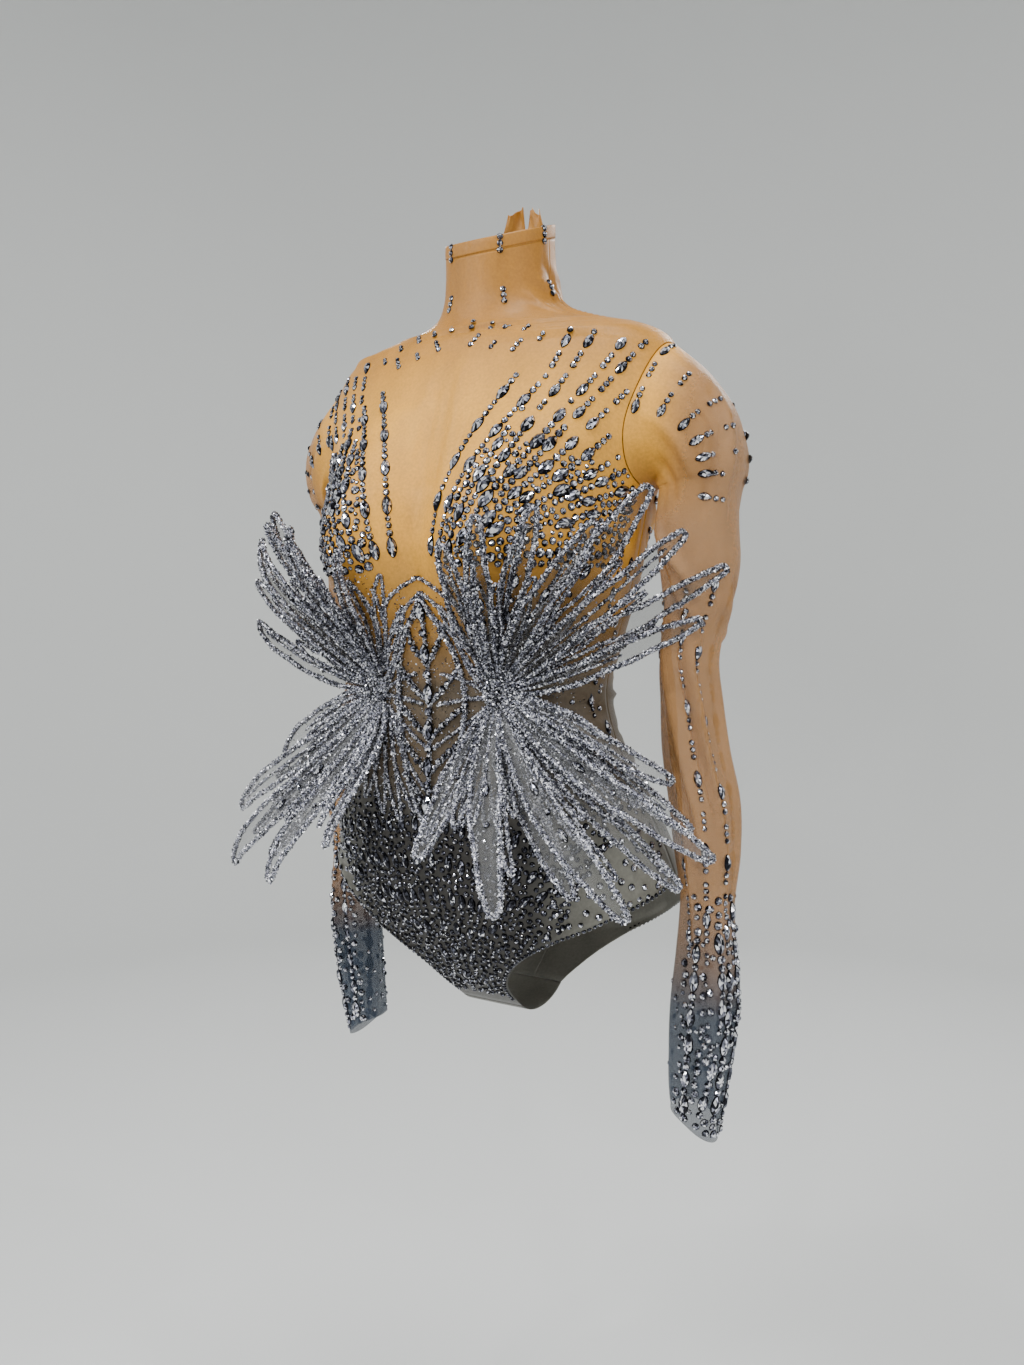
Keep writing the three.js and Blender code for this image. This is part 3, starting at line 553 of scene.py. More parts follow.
def sleeve_creases(degrees, ring, side):
    """The sum of a sleeve's creases. They are mirrored and moved round on the right sleeve."""
    below = np.clip(ring - (CAP["rings"] + 1), 0, None)
    radius = np.where(ring < CAP["rings"], CAP_HALF, along(SLEEVE["half_y"], below))
    moved = RIGHT_TURN if side < 0 else 0
    total = np.zeros(np.shape(degrees))
    for angle_0, ring_0, angle_1, ring_1, bow, width, height in creases(SLEEVE_CREASES):
        share = (ring - ring_0) / (ring_1 - ring_0)
        middle = mix(angle_0, angle_1, np.clip(share, 0, 1)) + bow * hump(share) + moved
        off = np.radians((degrees - middle + 180) % 360 - 180) * radius
        total += height * crease_profile(off, SLEEVE_SPREAD * width) * hump(share)
    return total


def sleeve_skin(ring, degrees, side, lift=0.0):
    """The outer face of a sleeve, moved out by the cloth's half wall, its creases and a lift."""
    low, high = np.clip(ring - 0.02, 0, LAST_RING), np.clip(ring + 0.02, 0, LAST_RING)
    down = sleeve(degrees, high, side) - sleeve(degrees, low, side)
    around = sleeve(degrees + 1, ring, side) - sleeve(degrees - 1, ring, side)
    normal = unit(np.cross(around, down))
    out = SKIN + SLEEVE_DEPTH * sleeve_creases(degrees, ring, side) + lift
    point = sleeve(degrees, ring, side) + normal * out[..., None]
    flip = np.array([side, 1, 1])
    return point * flip, normal * flip


def grid_faces(rows, columns, closed):
    """Four corners of each cell of a grid, row by row. closed joins the last column to the first."""
    i = np.arange(rows - 1)[:, None]
    j = np.arange(columns if closed else columns - 1)[None, :]
    a, b = i * columns + j, i * columns + (j + 1) % columns
    return np.stack([a, a + columns, b + columns, b], axis=-1).reshape(-1, 4)


def shell_faces(rows, columns, closed):
    """Faces of a thin closed shell: an outer grid, an inner one turned round, and the rims between."""
    outer = grid_faces(rows, columns, closed)
    shift = rows * columns
    rims = []
    j = np.arange(columns if closed else columns - 1)
    k = (j + 1) % columns
    last = (rows - 1) * columns
    rims.append(np.stack([j, k, k + shift, j + shift], axis=-1))
    rims.append(np.stack([last + k, last + j, last + j + shift, last + k + shift], axis=-1))
    if not closed:
        i = np.arange(rows - 1) * columns
        end = i + columns - 1
        rims.append(np.stack([i + columns, i, i + shift, i + columns + shift], axis=-1))
        rims.append(np.stack([end, end + columns, end + columns + shift, end + shift], axis=-1))
    return np.concatenate([outer, outer[:, ::-1] + shift, *rims])


def signed_volume(points, faces):
    """Six times the volume that closed faces hold, below zero where they point in."""
    a, b, c = points[faces[:, 0]], points[faces[:, 1]], points[faces[:, 2]]
    total = np.einsum("ij,ij->", a, np.cross(b, c))
    for k in range(3, faces.shape[1]):
        total += np.einsum("ij,ij->", a, np.cross(points[faces[:, k - 1]], points[faces[:, k]]))
    return total


class Shape:
    """Points and faces gathered from arrays, for one mesh."""

    def __init__(self):
        self.points, self.corners, self.sizes = [], [], []
        self.smooth, self.finish, self.tone, self.uv = [], [], [], []
        self.count = 0

    def add(self, points, face_groups, smooth=True, finish=0, tone=0.0, uv=None):
        """Adds points, and groups of faces with the same number of corners. tone, a painted glint or dark
        reflection, is one for each face.
        """
        turned = sum(signed_volume(points, group) for group in face_groups) < 0
        tones = tone if isinstance(tone, (list, tuple)) else [tone] * len(face_groups)
        for group, face_tone in zip(face_groups, tones):
            group = group[:, ::-1] if turned else group
            self.corners.append((group + self.count).ravel())
            self.sizes.append(np.full(len(group), group.shape[1]))
            self.smooth.append(np.full(len(group), smooth))
            self.finish.append(np.full(len(group), finish))
            self.tone.append(np.broadcast_to(face_tone, len(group)))
        self.points.append(points)
        self.uv.append(np.zeros((len(points), 2)) if uv is None else uv)
        self.count += len(points)

    def build(self, name, materials, slot, replaces=()):
        """Makes the mesh, in metres, and sets it on the part's body."""
        points = np.concatenate(self.points) * MM
        corners, sizes = np.concatenate(self.corners), np.concatenate(self.sizes)
        mesh = bpy.data.meshes.new(name)
        mesh.vertices.add(len(points))
        mesh.vertices.foreach_set("co", points.astype(np.float32).ravel())
        mesh.loops.add(len(corners))
        mesh.loops.foreach_set("vertex_index", corners.astype(np.int32))
        mesh.polygons.add(len(sizes))
        starts = np.concatenate([[0], np.cumsum(sizes)[:-1]])
        mesh.polygons.foreach_set("loop_start", starts.astype(np.int32))
        mesh.polygons.foreach_set("use_smooth", np.concatenate(self.smooth))
        mesh.polygons.foreach_set("material_index", np.concatenate(self.finish).astype(np.int32))
        # Painted reflection: each face's glint or dark reflection, which the facet materials turn into
        # colour.
        tone = mesh.attributes.new("tone", "FLOAT", "FACE")
        tone.data.foreach_set("value", np.concatenate(self.tone).astype(np.float32))
        layer = mesh.uv_layers.new(name="cloth")
        layer.data.foreach_set("uv", (np.concatenate(self.uv)[corners]).astype(np.float32).ravel())
        mesh.update(calc_edges=True)
        mesh.validate()
        for made in materials:
            mesh.materials.append(made)
        piece = bpy.data.objects.new(name, mesh)
        bpy.context.scene.collection.objects.link(piece)
        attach(piece, "root")
        if replaces:
            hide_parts(*replaces)
        return piece


def pulled(grid, edges):
    """Draws a grid's edges in by half the seam gap, towards their neighbours."""
    made = grid.copy()
    pairs = {"top": (0, 1), "bottom": (-1, -2)}
    for edge, (at, to) in pairs.items():
        if edge in edges:
            made[at] += unit(grid[to] - grid[at]) * SEAM_GAP / 2
    if "sides" in edges:
        for at, to in ((0, 1), (-1, -2)):
            made[:, at] += unit(made[:, to] - made[:, at]) * SEAM_GAP / 2
    return made


def grid_length(points):
    """Distance along the first axis of a grid, for each of its points."""
    steps = np.linalg.norm(np.diff(points, axis=0), axis=-1)
    return np.concatenate([np.zeros((1,) + steps.shape[1:]), np.cumsum(steps, axis=0)])


def cloth_sheet(name, outer, normal, edges, closed, made_of, replaces, slot="net"):
    """A thin shell of cloth from its outer face, with a rib pattern laid along its own lengths."""
    wall = bpy.context.scene.bodysuit_cloth.wall / MM
    layers = [pulled(outer, edges), pulled(outer - normal * wall, edges)]
    down = grid_length(outer)
    around = np.swapaxes(grid_length(np.swapaxes(outer, 0, 1)), 0, 1)
    uv = np.stack([around, down], axis=-1).reshape(-1, 2) * MM
    shape = Shape()
    points = np.concatenate([layer.reshape(-1, 3) for layer in layers])
    faces = shell_faces(*outer.shape[:2], closed)
    shape.add(points, [faces], uv=np.concatenate([uv, uv]))
    return shape.build(name, [made_of], slot, replaces)


def frames_along(path, reference):
    """Directions along, beside and over a path, with the last close to a reference direction."""
    tangent = unit(np.gradient(path, axis=0))
    beside = unit(np.cross(tangent, reference))
    return tangent, beside, np.cross(beside, tangent)


def rounded_radius(path, radius):
    """A radius along a path that closes in a quarter circle at both ends."""
    walked = grid_length(path)
    left = np.minimum(walked, walked[-1] - walked) / radius
    return radius * np.sqrt(1 - (1 - np.clip(left, 0.04, 1)) ** 2)


def add_tube(shape, path, radius, reference, sides):
    """A closed tube round a path: rings of a circle, and a point at each end. Returns its rings."""
    tangent, beside, over = frames_along(path, reference)
    turn = np.linspace(0, 2 * np.pi, sides, endpoint=False)[None, :, None]
    width = rounded_radius(path, radius)[:, None, None]
    rings = path[:, None] + width * (np.cos(turn) * beside[:, None] + np.sin(turn) * over[:, None])
    count = len(path) * sides
    ends = path[[0, -1]] - tangent[[0, -1]] * np.array([[0.05], [-0.05]]) * radius
    points = np.concatenate([rings.reshape(-1, 3), ends])
    j = np.arange(sides)
    k = (j + 1) % sides
    first = np.stack([np.full(sides, count), j, k], axis=-1)
    last = np.stack([np.full(sides, count + 1), count - sides + k, count - sides + j], axis=-1)
    shape.add(points, [grid_faces(len(path), sides, True), first, last])
    return rings, unit(rings - path[:, None])


def pick_reflection_tones(rng, shape, dark=0.5, bright=0.2):
    """Shares of dark, middling and bright facets, as sunlit and shaded sides of cut glass: painted dark
    reflections and painted glints.
    """
    kind = rng.random(shape)
    tone = mix(0.3, 0.72, rng.random(shape))
    tone = np.where(kind < dark, mix(0.02, 0.14, rng.random(shape)), tone)
    return np.where(kind > 1 - bright, mix(0.82, 1.0, rng.random(shape)), tone)


def crumb_size():
    """The width of a glitter crumb, in millimetres."""
    return bpy.context.scene.bodysuit_petals.crumb / MM


def add_crumbs(shape, centre, normal, size, rng, dark=CRUMB_REFLECTIONS[0], bright=CRUMB_REFLECTIONS[1]):
    """Glitter crumbs: four-faced grains with a tilted base, a third sunk into what they lie on."""
    count = len(centre)
    across = unit(np.cross(normal, rng.normal(size=(count, 3))))
    other = np.cross(normal, across)
    size = (size * mix(0.65, 1.35, rng.random(count)))[:, None, None]
    turn = np.radians([0, 120, 240])[None, :, None] + rng.uniform(-0.3, 0.3, (count, 3, 1))
    spread = np.cos(turn) * across[:, None] + np.sin(turn) * other[:, None]
    tilt = rng.uniform(-0.55, 0.15, (count, 3, 1))
    base = centre[:, None] + size * (0.62 * spread + tilt * normal[:, None])
    lean = rng.uniform(-0.35, 0.35, (count, 2))
    peak = centre + size[:, 0] * (0.55 * normal + lean[:, :1] * across + lean[:, 1:] * other)
    points = np.concatenate([base, peak[:, None]], axis=1).reshape(-1, 3)
    corners = np.array([(0, 1, 3), (1, 2, 3), (2, 0, 3), (0, 2, 1)])
    faces = (np.arange(count)[:, None, None] * 4 + corners).reshape(-1, 3)
    # Painted glints and dark reflections, one for each face of the crumbs.
    tone = pick_reflection_tones(rng, len(faces), dark, bright)
    shape.add(points, [faces], smooth=False, finish=1, tone=[tone])


def crumbs_on_rings(shape, rings, normals, spacing, rng, dark=CRUMB_REFLECTIONS[0], bright=CRUMB_REFLECTIONS[1]):
    """Scatters crumbs evenly over a tube, by the area of its cells."""
    sides = rings.shape[1]
    step = np.linalg.norm(np.diff(rings, axis=0), axis=-1)
    width = np.linalg.norm(np.roll(rings, -1, axis=1) - rings, axis=-1)[:-1]
    area = (step * width).ravel()
    count = int(area.sum() / spacing**2)
    cell = rng.choice(area.size, count, p=area / area.sum())
    i, j = cell // sides, cell % sides
    u, v = rng.random((2, count, 1))
    k = (j + 1) % sides
    point = mix(mix(rings[i, j], rings[i + 1, j], u), mix(rings[i, k], rings[i + 1, k], u), v)
    normal = unit(mix(normals[i, j], normals[i, k], v))
    add_crumbs(shape, point, normal, crumb_size(), rng, dark, bright)


def cord(shape, path, radius, reference, rng, spacing=1.9, sides=6, **tones):
    """A glitter cord: a tube set all over with crumbs."""
    rings, normals = add_tube(shape, path, radius, reference, sides)
    crumbs_on_rings(shape, rings, normals, spacing, rng, **tones)


# Width and height of a stone's skirt, girdle and table, and its shares of facets with painted dark
# reflections and painted glints.
GEM_RINGS = ((1.12, -0.04), (1.0, 0.3), (0.6, 0.86))
CROWN_REFLECTIONS = {"dark": 0.38, "bright": 0.2}
TABLE_REFLECTIONS = {"dark": 0.2, "bright": 0.34}


def gem_faces(sides):
    """Faces of a cut stone: a skirt painted dark as a dark reflection, a crown and a table of triangles, and
    a flat back.
    """
    j = np.arange(sides)
    k = (j + 1) % sides
    skirt = np.stack([j, k, k + sides, j + sides], axis=-1)
    crown = np.concatenate(
        [
            np.stack([j + sides, k + sides, j + 2 * sides], axis=-1),
            np.stack([k + sides, k + 2 * sides, j + 2 * sides], axis=-1),
        ]
    )
    table_top = np.stack([j + 2 * sides, k + 2 * sides, np.full(sides, 3 * sides)], axis=-1)
    return skirt, crown, table_top, j[::-1][None]


def gem_points(sides, pointed):
    """A stone one long, one wide and one high: skirt, girdle and table rings, and the table's middle."""
    turn = np.radians(np.arange(sides) * 360 / sides)
    half_step = np.pi / sides
    turns = (turn, turn, turn + half_step)

    def ring(angle, size, height):
        x, y = np.cos(angle), np.sin(angle)
        if pointed:
            y = np.sign(y) * np.abs(y) ** 1.35
        return np.stack([0.5 * size * x, 0.5 * size * y, np.full(sides, height)], axis=-1)

    rings = [ring(angle, *sizes) for angle, sizes in zip(turns, GEM_RINGS)]
    return np.concatenate([*rings, [(0, 0, 1)]])


def add_gems(shape, stones, rise, rng, depth):
    """Sets cut stones on a cloth: each unit stone is scaled, turned along its heading and moved out."""
    pointed = stones["length"] > 1.2 * stones["width"]
    small = ~pointed & (stones["width"] < 3.6)
    for chosen, sides, is_pointed in (
        (pointed, 12, True),
        (~pointed & ~small, 8, False),
        (small, 6, False),
    ):
        count = int(chosen.sum())
        if not count:
            continue
        unit_points = gem_points(sides, is_pointed)
        point, normal, heading = (stones[key][chosen] for key in ("point", "normal", "heading"))
        length, width = stones["length"][chosen], stones["width"][chosen]
        heading = unit(heading - normal * np.sum(heading * normal, axis=-1, keepdims=True))
        beside = np.cross(normal, heading)
        height = width * rise * mix(0.92, 1.08, rng.random(count))
        placed = (
            point[:, None]
            + unit_points[None, :, :1] * (heading * length[:, None])[:, None]
            + unit_points[None, :, 1:2] * (beside * width[:, None])[:, None]
            + unit_points[None, :, 2:] * (normal * height[:, None])[:, None]
        )
        shift = (np.arange(count) * (3 * sides + 1))[:, None, None]
        groups = [(group[None] + shift).reshape(-1, group.shape[1]) for group in gem_faces(sides)]
        # Painted reflection: a near black skirt, crown and table facets that are dark or glint at random, and
        # a black back.
        tones = [
            mix(0.0, 0.06, rng.random(len(groups[0]))),
            pick_reflection_tones(rng, len(groups[1]), CROWN_REFLECTIONS["dark"], CROWN_REFLECTIONS["bright"] / depth) ** depth,
            pick_reflection_tones(rng, len(groups[2]), TABLE_REFLECTIONS["dark"], TABLE_REFLECTIONS["bright"] / depth) ** depth,
            np.zeros(len(groups[3])),
        ]
        shape.add(placed.reshape(-1, 3), groups, smooth=False, tone=tones)


class Setting:
    """Stones set one after another, each clear of all those set before it."""

    KEYS = ("point", "normal", "heading", "length", "width")
    DISC_PLACES = np.array([-0.8, 0, 0.8])
    DISC_WIDTHS = np.array([0.33, 0.5, 0.33])

    def __init__(self, seed):
        self.rng = np.random.default_rng(seed)
        self.kept = {key: [] for key in self.KEYS}
        self.discs = np.zeros((0, 4))

    def set(self, stones, clear=0.4):
        """Keeps each stone whose three discs, along its length, touch no disc of a kept stone."""
        reach = np.maximum(stones["length"] - stones["width"], 0)[:, None, None] / 2
        offsets = self.DISC_PLACES[None, :, None] * reach
        centres = stones["point"][:, None] + offsets * stones["heading"][:, None]
        radii = stones["width"][:, None] * self.DISC_WIDTHS[None]
        radii = np.where(reach[:, :, 0] > 0, radii, stones["width"][:, None] / 2)
        room = np.zeros((len(self.discs) + 3 * len(centres), 4))
        used = len(self.discs)
        room[:used] = self.discs
        chosen = []
        for i in range(len(centres)):
            away = np.linalg.norm(room[None, :used, :3] - centres[i][:, None], axis=-1)
            if used == 0 or (away - room[None, :used, 3] - radii[i][:, None]).min() > clear:
                room[used : used + 3, :3] = centres[i]
                room[used : used + 3, 3] = radii[i]
                used += 3
                chosen.append(i)
        self.discs = room[:used]
        for key in self.KEYS:
            self.kept[key].append(stones[key][chosen])

    def build(self, name, depth=1.0):
        """One mesh of all the stones set. A depth over 1 darkens their painted reflections and leaves fewer
        painted glints.
        """
        stones = {key: np.concatenate(values) for key, values in self.kept.items()}
        shape = Shape()
        add_gems(shape, stones, bpy.context.scene.bodysuit_stones.rise, self.rng, depth)
        return shape.build(name, [crystal_material()], "crystal")


def stones_at(skin, first, second, turned, length, width):
    """Stones at places on a skin. turned is the step in both coordinates that a stone points along."""
    point, normal = skin(first, second)
    ahead, _ = skin(first + turned[0], second + turned[1])
    size = np.broadcast_to(length, point.shape[:1]).astype(float)
    return {
        "point": point,
        "normal": normal,
        "heading": unit(ahead - point),
        "length": size,
        "width": np.broadcast_to(width, point.shape[:1]).astype(float),
    }


def pattern_of(*stones):
    """A row's stones, as lengths and widths. A plain number is a round stone, a width of 0 a bare stretch."""
    return tuple(stone if isinstance(stone, tuple) else (stone, stone) for stone in stones)


def strand(skin, start, end, bow, pattern, gap=0.9, allowed=None):
    """Stones in a bowed row between two places on a skin, in a repeated pattern of lengths and widths."""
    share = np.linspace(0, 1, 80)
    first = mix(start[0], end[0], share)
    second = mix(start[1], end[1], share) + bow * np.sin(np.pi * share)
    walked = grid_length(skin(first, second)[0])
    repeats = int(walked[-1] / sum(length + gap for length, _ in pattern)) + 2
    sizes = np.tile(np.array(pattern, float), (repeats, 1))
    ends = np.cumsum(sizes[:, 0] + gap)
    middles = ends - (sizes[:, 0] + gap) / 2
    keep = (ends < walked[-1]) & (sizes[:, 1] > 0)
    at = np.interp(middles[keep], walked, share)
    a, b = np.interp(at, share, first), np.interp(at, share, second)
    if allowed is not None:
        inside = allowed(a, b)
        a, b, at = a[inside], b[inside], at[inside]
        keep = np.flatnonzero(keep)[inside]
    ahead = np.clip(at + 0.01, 0, 1)
    back = np.clip(at - 0.01, 0, 1)
    turned = (
        (np.interp(ahead, share, first) - np.interp(back, share, first)) / 2,
        (np.interp(ahead, share, second) - np.interp(back, share, second)) / 2,
    )
    return stones_at(skin, a, b, turned, sizes[keep, 0], sizes[keep, 1])


def scattered(skin, corners, count, sizes, rng, allowed=None, turned=(0.02, 0.0), chance=None):
    """Stones at random places in a four-cornered field of a skin, the largest first."""
    u, v = rng.random((2, count))
    corners = np.array(corners, float)
    low = mix(corners[0][None], corners[1][None], u[:, None])
    high = mix(corners[3][None], corners[2][None], u[:, None])
    place = mix(low, high, v[:, None])
    width = np.sort(rng.choice(sizes, count))[::-1]
    keep = np.ones(count, bool)
    if allowed is not None:
        keep &= allowed(place[:, 0], place[:, 1])
    if chance is not None:
        keep &= rng.random(count) < chance(v)
    return stones_at(skin, place[keep, 0], place[keep, 1], turned, width[keep], width[keep])


def band_skin(height, angle):
    """The neck band's outer face, by height over its seam. Below the seam it stands on the neck."""
    row = np.zeros(np.shape(angle))
    normal = torso_normal(row, angle)
    point = torso(row, angle) + normal * (SKIN + BAND["lift"])
    return point + height[..., None] * np.array([0.0, 0.0, 1.0]), normal


def turned_skin(skin):
    """The same skin with its two coordinates in the other order."""
    return lambda second, first: skin(first, second)


def fading(start, fall):
    """The chance of a stone, which falls off at a rate from the first edge of a field to its last."""
    return lambda v: np.clip(start - fall * v, 0, 1)


def lifted(skin, lift):
    """The same skin, moved out by a lift."""

    def moved(first, second):
        point, normal = skin(first, second)
        return point + normal * lift, normal

    return moved


def ray(z, x, angle, low, high):
    """Both ends of a line on the front or back, as z and x: a low and a high reach along an angle."""
    return tuple((z + reach * math.sin(angle), x + reach * math.cos(angle)) for reach in (low, high))


def set_leg_row(setting, skin, panel, pitch):
    """Sets a row of small rounds along a leg opening, evenly spaced inside a panel's edge."""
    legs = np.linspace(LEG_ROW + 0.02, STONE_LIMITS["leg_row"], 70)
    margin = np.degrees(STONE_LIMITS["leg_margin"] / along(TORSO["half"], legs))
    edge = panel_edge(legs, panel) - margin
    walked = grid_length(skin(legs, edge)[0])
    at = np.arange(3, walked[-1] - 3, pitch)
    row, angle = np.interp(at, walked, legs), np.interp(at, walked, edge)
    setting.set(stones_at(skin, row, angle, (0.05, 0.0), 4.0, 4.0), 0.3)


def front_skin(x, z):
    """The torso's outer face, by its place seen from the front."""
    row = row_at(z)
    angle = np.degrees(np.arcsin(np.clip(x / along(TORSO["half"], row), -0.999, 0.999)))
    return torso_skin(row, angle)


def back_skin(x, z):
    """The torso's outer face, by its place seen from behind."""
    row = row_at(z)
    angle = 180 - np.degrees(np.arcsin(np.clip(x / along(TORSO["half"], row), -0.999, 0.999)))
    return torso_skin(row, angle)


def on_panel(side, margin):
    """Says which places, in x and z, lie on the front or back panel, clear of its edge."""

    def allowed(x, z):
        row = row_at(z)
        half = along(TORSO["half"], row)
        sine = np.abs(x) / half
        angle = np.degrees(np.arcsin(np.clip(sine, 0, 0.999)))
        inside = angle + np.degrees(margin / half) < panel_edge(row, side)
        return (sine < STONE_LIMITS["sine"]) & inside & (row < STONE_LIMITS["row"])

    return allowed


def wrapped_skin(side):
    """A skin whose coordinates are row and angle."""
    return lambda row, angle: torso_skin(row, side * angle)


def curved_frame(side):
    """Where a boss sits on the front, and the directions out, across and up there."""
    row, angle = np.array(float(WAIST_ROW)), np.array(float(BOSS["angle"]))
    point, out = torso(row, angle), torso_normal(row, angle)
    up = unit(np.array([0, 0, 1.0]) - out * out[2])
    flip = np.array([side, 1, 1])
    return point * flip, out * flip, np.cross(up, out) * flip, up * flip


def bezier(a, b, c, d, t):
    """A cubic curve from a to d, which leaves towards b and comes in from c, at shares t."""
    return a * (1 - t) ** 3 + 3 * b * t * (1 - t) ** 2 + 3 * c * t**2 * (1 - t) + d * t**3


def petal_line(fan, i, share):
    """A petal's middle line from its root on the boss to its tip, on the wearer's left."""
    point, out, across, up = curved_frame(1)
    row = {name: values[i] for name, values in PETALS[fan].items()}
    angle = math.radians(FAN[fan] - i * FAN["pitch"])
    radial = across * math.cos(angle) + up * math.sin(angle)
    layer = 0 if i + 1 in LOWER_LAYER[fan] else 1
    rise = PETAL["lift"] + layer * PETAL["layer_rise"]
    root = point + radial * (BOSS["radius"] + 3 * SEAM_GAP) + out * rise
    tip = np.array([row["x"], row["y"], row["z"]])
    bow = out * row["bow"]
    leave = root + radial * np.linalg.norm(tip - root) * PETAL["reach"] + bow
    arrive = mix(root, tip, PETAL["bend"]) + bow
    return bezier(root, leave, arrive, tip, share[:, None]), out, row


def node(tree, kind, inputs=(), **settings):
    """A shader node. inputs gives sockets, by name or number, a value or another node's socket."""
    made = tree.nodes.new("ShaderNode" + kind)
    for key, value in settings.items():
        setattr(made, key, value)
    return fed(tree, made, dict(inputs))


def fed(tree, made, inputs):
    """The same node, with its sockets set or linked."""
    for key, value in inputs.items():
        if isinstance(value, bpy.types.NodeSocket):
            tree.links.new(value, made.inputs[key])
        else:
            made.inputs[key].default_value = value
    return made


def group_tree(name, inputs, outputs):
    """A new node group with named sockets, and its input and output nodes."""
    tree = bpy.data.node_groups.new(name, "ShaderNodeTree")
    for label, kind in inputs:
        tree.interface.new_socket(label, in_out="INPUT", socket_type=kind)
    for label, kind in outputs:
        tree.interface.new_socket(label, in_out="OUTPUT", socket_type=kind)
    return tree, tree.nodes.new("NodeGroupInput"), tree.nodes.new("NodeGroupOutput")


def weave_group():
    """Ribs across two directions of a vector: the product of two sine waves, as the net's holes."""
    if "weave" in bpy.data.node_groups:
        return bpy.data.node_groups["weave"]
    tree, source, result = group_tree(
        "weave",
        (("Vector", "NodeSocketVector"), ("Pitch", "NodeSocketFloat")),
        (("Height", "NodeSocketFloat"),),
    )
    rate = node(tree, "Math", {0: 2 * math.pi, 1: source.outputs["Pitch"]}, operation="DIVIDE")
    parts = node(tree, "SeparateXYZ", {0: source.outputs["Vector"]})
    waves = []
    for axis in "XY":
        scaled = node(tree, "Math", {0: parts.outputs[axis], 1: rate.outputs[0]}, operation="MULTIPLY")
        waves.append(node(tree, "Math", {0: scaled.outputs[0]}, operation="SINE"))
    product = node(tree, "Math", {0: waves[0].outputs[0], 1: waves[1].outputs[0]}, operation="MULTIPLY")
    tree.links.new(product.outputs[0], result.inputs["Height"])
    return tree


def mottle_group():
    """Soft, uneven shading: a coarse noise stretched down the cloth and a fine one, added."""
    if "mottle" in bpy.data.node_groups:
        return bpy.data.node_groups["mottle"]
    tree, source, result = group_tree(
        "mottle",
        (("Vector", "NodeSocketVector"), ("Amount", "NodeSocketFloat")),
        (("Value", "NodeSocketFloat"),),
    )
    stretched = node(tree, "Mapping", {"Vector": source.outputs["Vector"], "Scale": (1, 1, 0.35)})
    coarse = node(tree, "TexNoise", {"Vector": stretched.outputs[0], "Scale": 38.0, "Detail": 4.0})
    fine = node(tree, "TexNoise", {"Vector": source.outputs["Vector"], "Scale": 420.0, "Detail": 2.0})
    both = node(tree, "Math", {0: coarse.outputs[0], 1: fine.outputs[0]}, operation="ADD")
    centred = node(tree, "Math", {0: both.outputs[0], 1: 1.0}, operation="SUBTRACT")
    scaled = node(
        tree, "Math", {0: centred.outputs[0], 1: source.outputs["Amount"], 2: 1.0}, operation="MULTIPLY_ADD"
    )
    tree.links.new(scaled.outputs[0], result.inputs["Value"])
    return tree


def glitter_group():
    """Tiny flat cells, each with a tilt of its own and a tone for its painted glint or dark reflection."""
    if "glitter" in bpy.data.node_groups:
        return bpy.data.node_groups["glitter"]
    tree, source, result = group_tree(
        "glitter",
        (("Vector", "NodeSocketVector"), ("Size", "NodeSocketFloat"), ("Tilt", "NodeSocketFloat")),
        (("Tone", "NodeSocketFloat"), ("Normal", "NodeSocketVector")),
    )
    rate = node(tree, "Math", {0: 1.0, 1: source.outputs["Size"]}, operation="DIVIDE")
    cells = node(tree, "TexVoronoi", {"Vector": source.outputs["Vector"], "Scale": rate.outputs[0]})
    tilt = node(tree, "VectorMath", {0: cells.outputs["Color"], 1: (0.5, 0.5, 0.5)}, operation="SUBTRACT")
    sized = node(tree, "VectorMath", {0: tilt.outputs[0], "Scale": source.outputs["Tilt"]}, operation="SCALE")
    surface = node(tree, "NewGeometry")
    leaning = node(tree, "VectorMath", {0: surface.outputs["Normal"], 1: sized.outputs[0]}, operation="ADD")
    straight = node(tree, "VectorMath", {0: leaning.outputs[0]}, operation="NORMALIZE")
    parts = node(tree, "SeparateColor", {0: cells.outputs["Color"]})
    tree.links.new(parts.outputs[0], result.inputs["Tone"])
    tree.links.new(straight.outputs[0], result.inputs["Normal"])
    return tree


def grouped(tree, group, inputs):
    """Places a node group in a material."""
    made = tree.nodes.new("ShaderNodeGroup")
    made.node_tree = group
    return fed(tree, made, inputs)


def woven(tree, coordinates):
    """The net's ribs, laid along the cloth's own lengths."""
    pitch = bpy.context.scene.bodysuit_cloth.weave
    return grouped(tree, weave_group(), {"Vector": coordinates.outputs["UV"], "Pitch": pitch})


def mottled(tree, coordinates, amount):
    """Soft, uneven shading of the cloth."""
    return grouped(tree, mottle_group(), {"Vector": coordinates.outputs["Object"], "Amount": amount})


def ramp(tree, factor, stops):
    """A colour ramp with these stops: a place and a colour each."""
    made = node(tree, "ValToRGB", {0: factor})
    elements = made.color_ramp.elements
    while len(elements) < len(stops):
        elements.new(1.0)
    for element, (place, colour) in zip(elements, stops):
        element.position = place
        element.color = (*colour, 1)
    return made


def new_material(name, **sockets):
    """A material with a Principled shader whose plain sockets hold these values."""
    made = bpy.data.materials.new(name)
    made.use_nodes = True
    tree = made.node_tree
    tree.nodes.clear()
    shader = node(tree, "BsdfPrincipled", sockets)
    node(tree, "OutputMaterial", {"Surface": shader.outputs[0]})
    return made, tree, shader


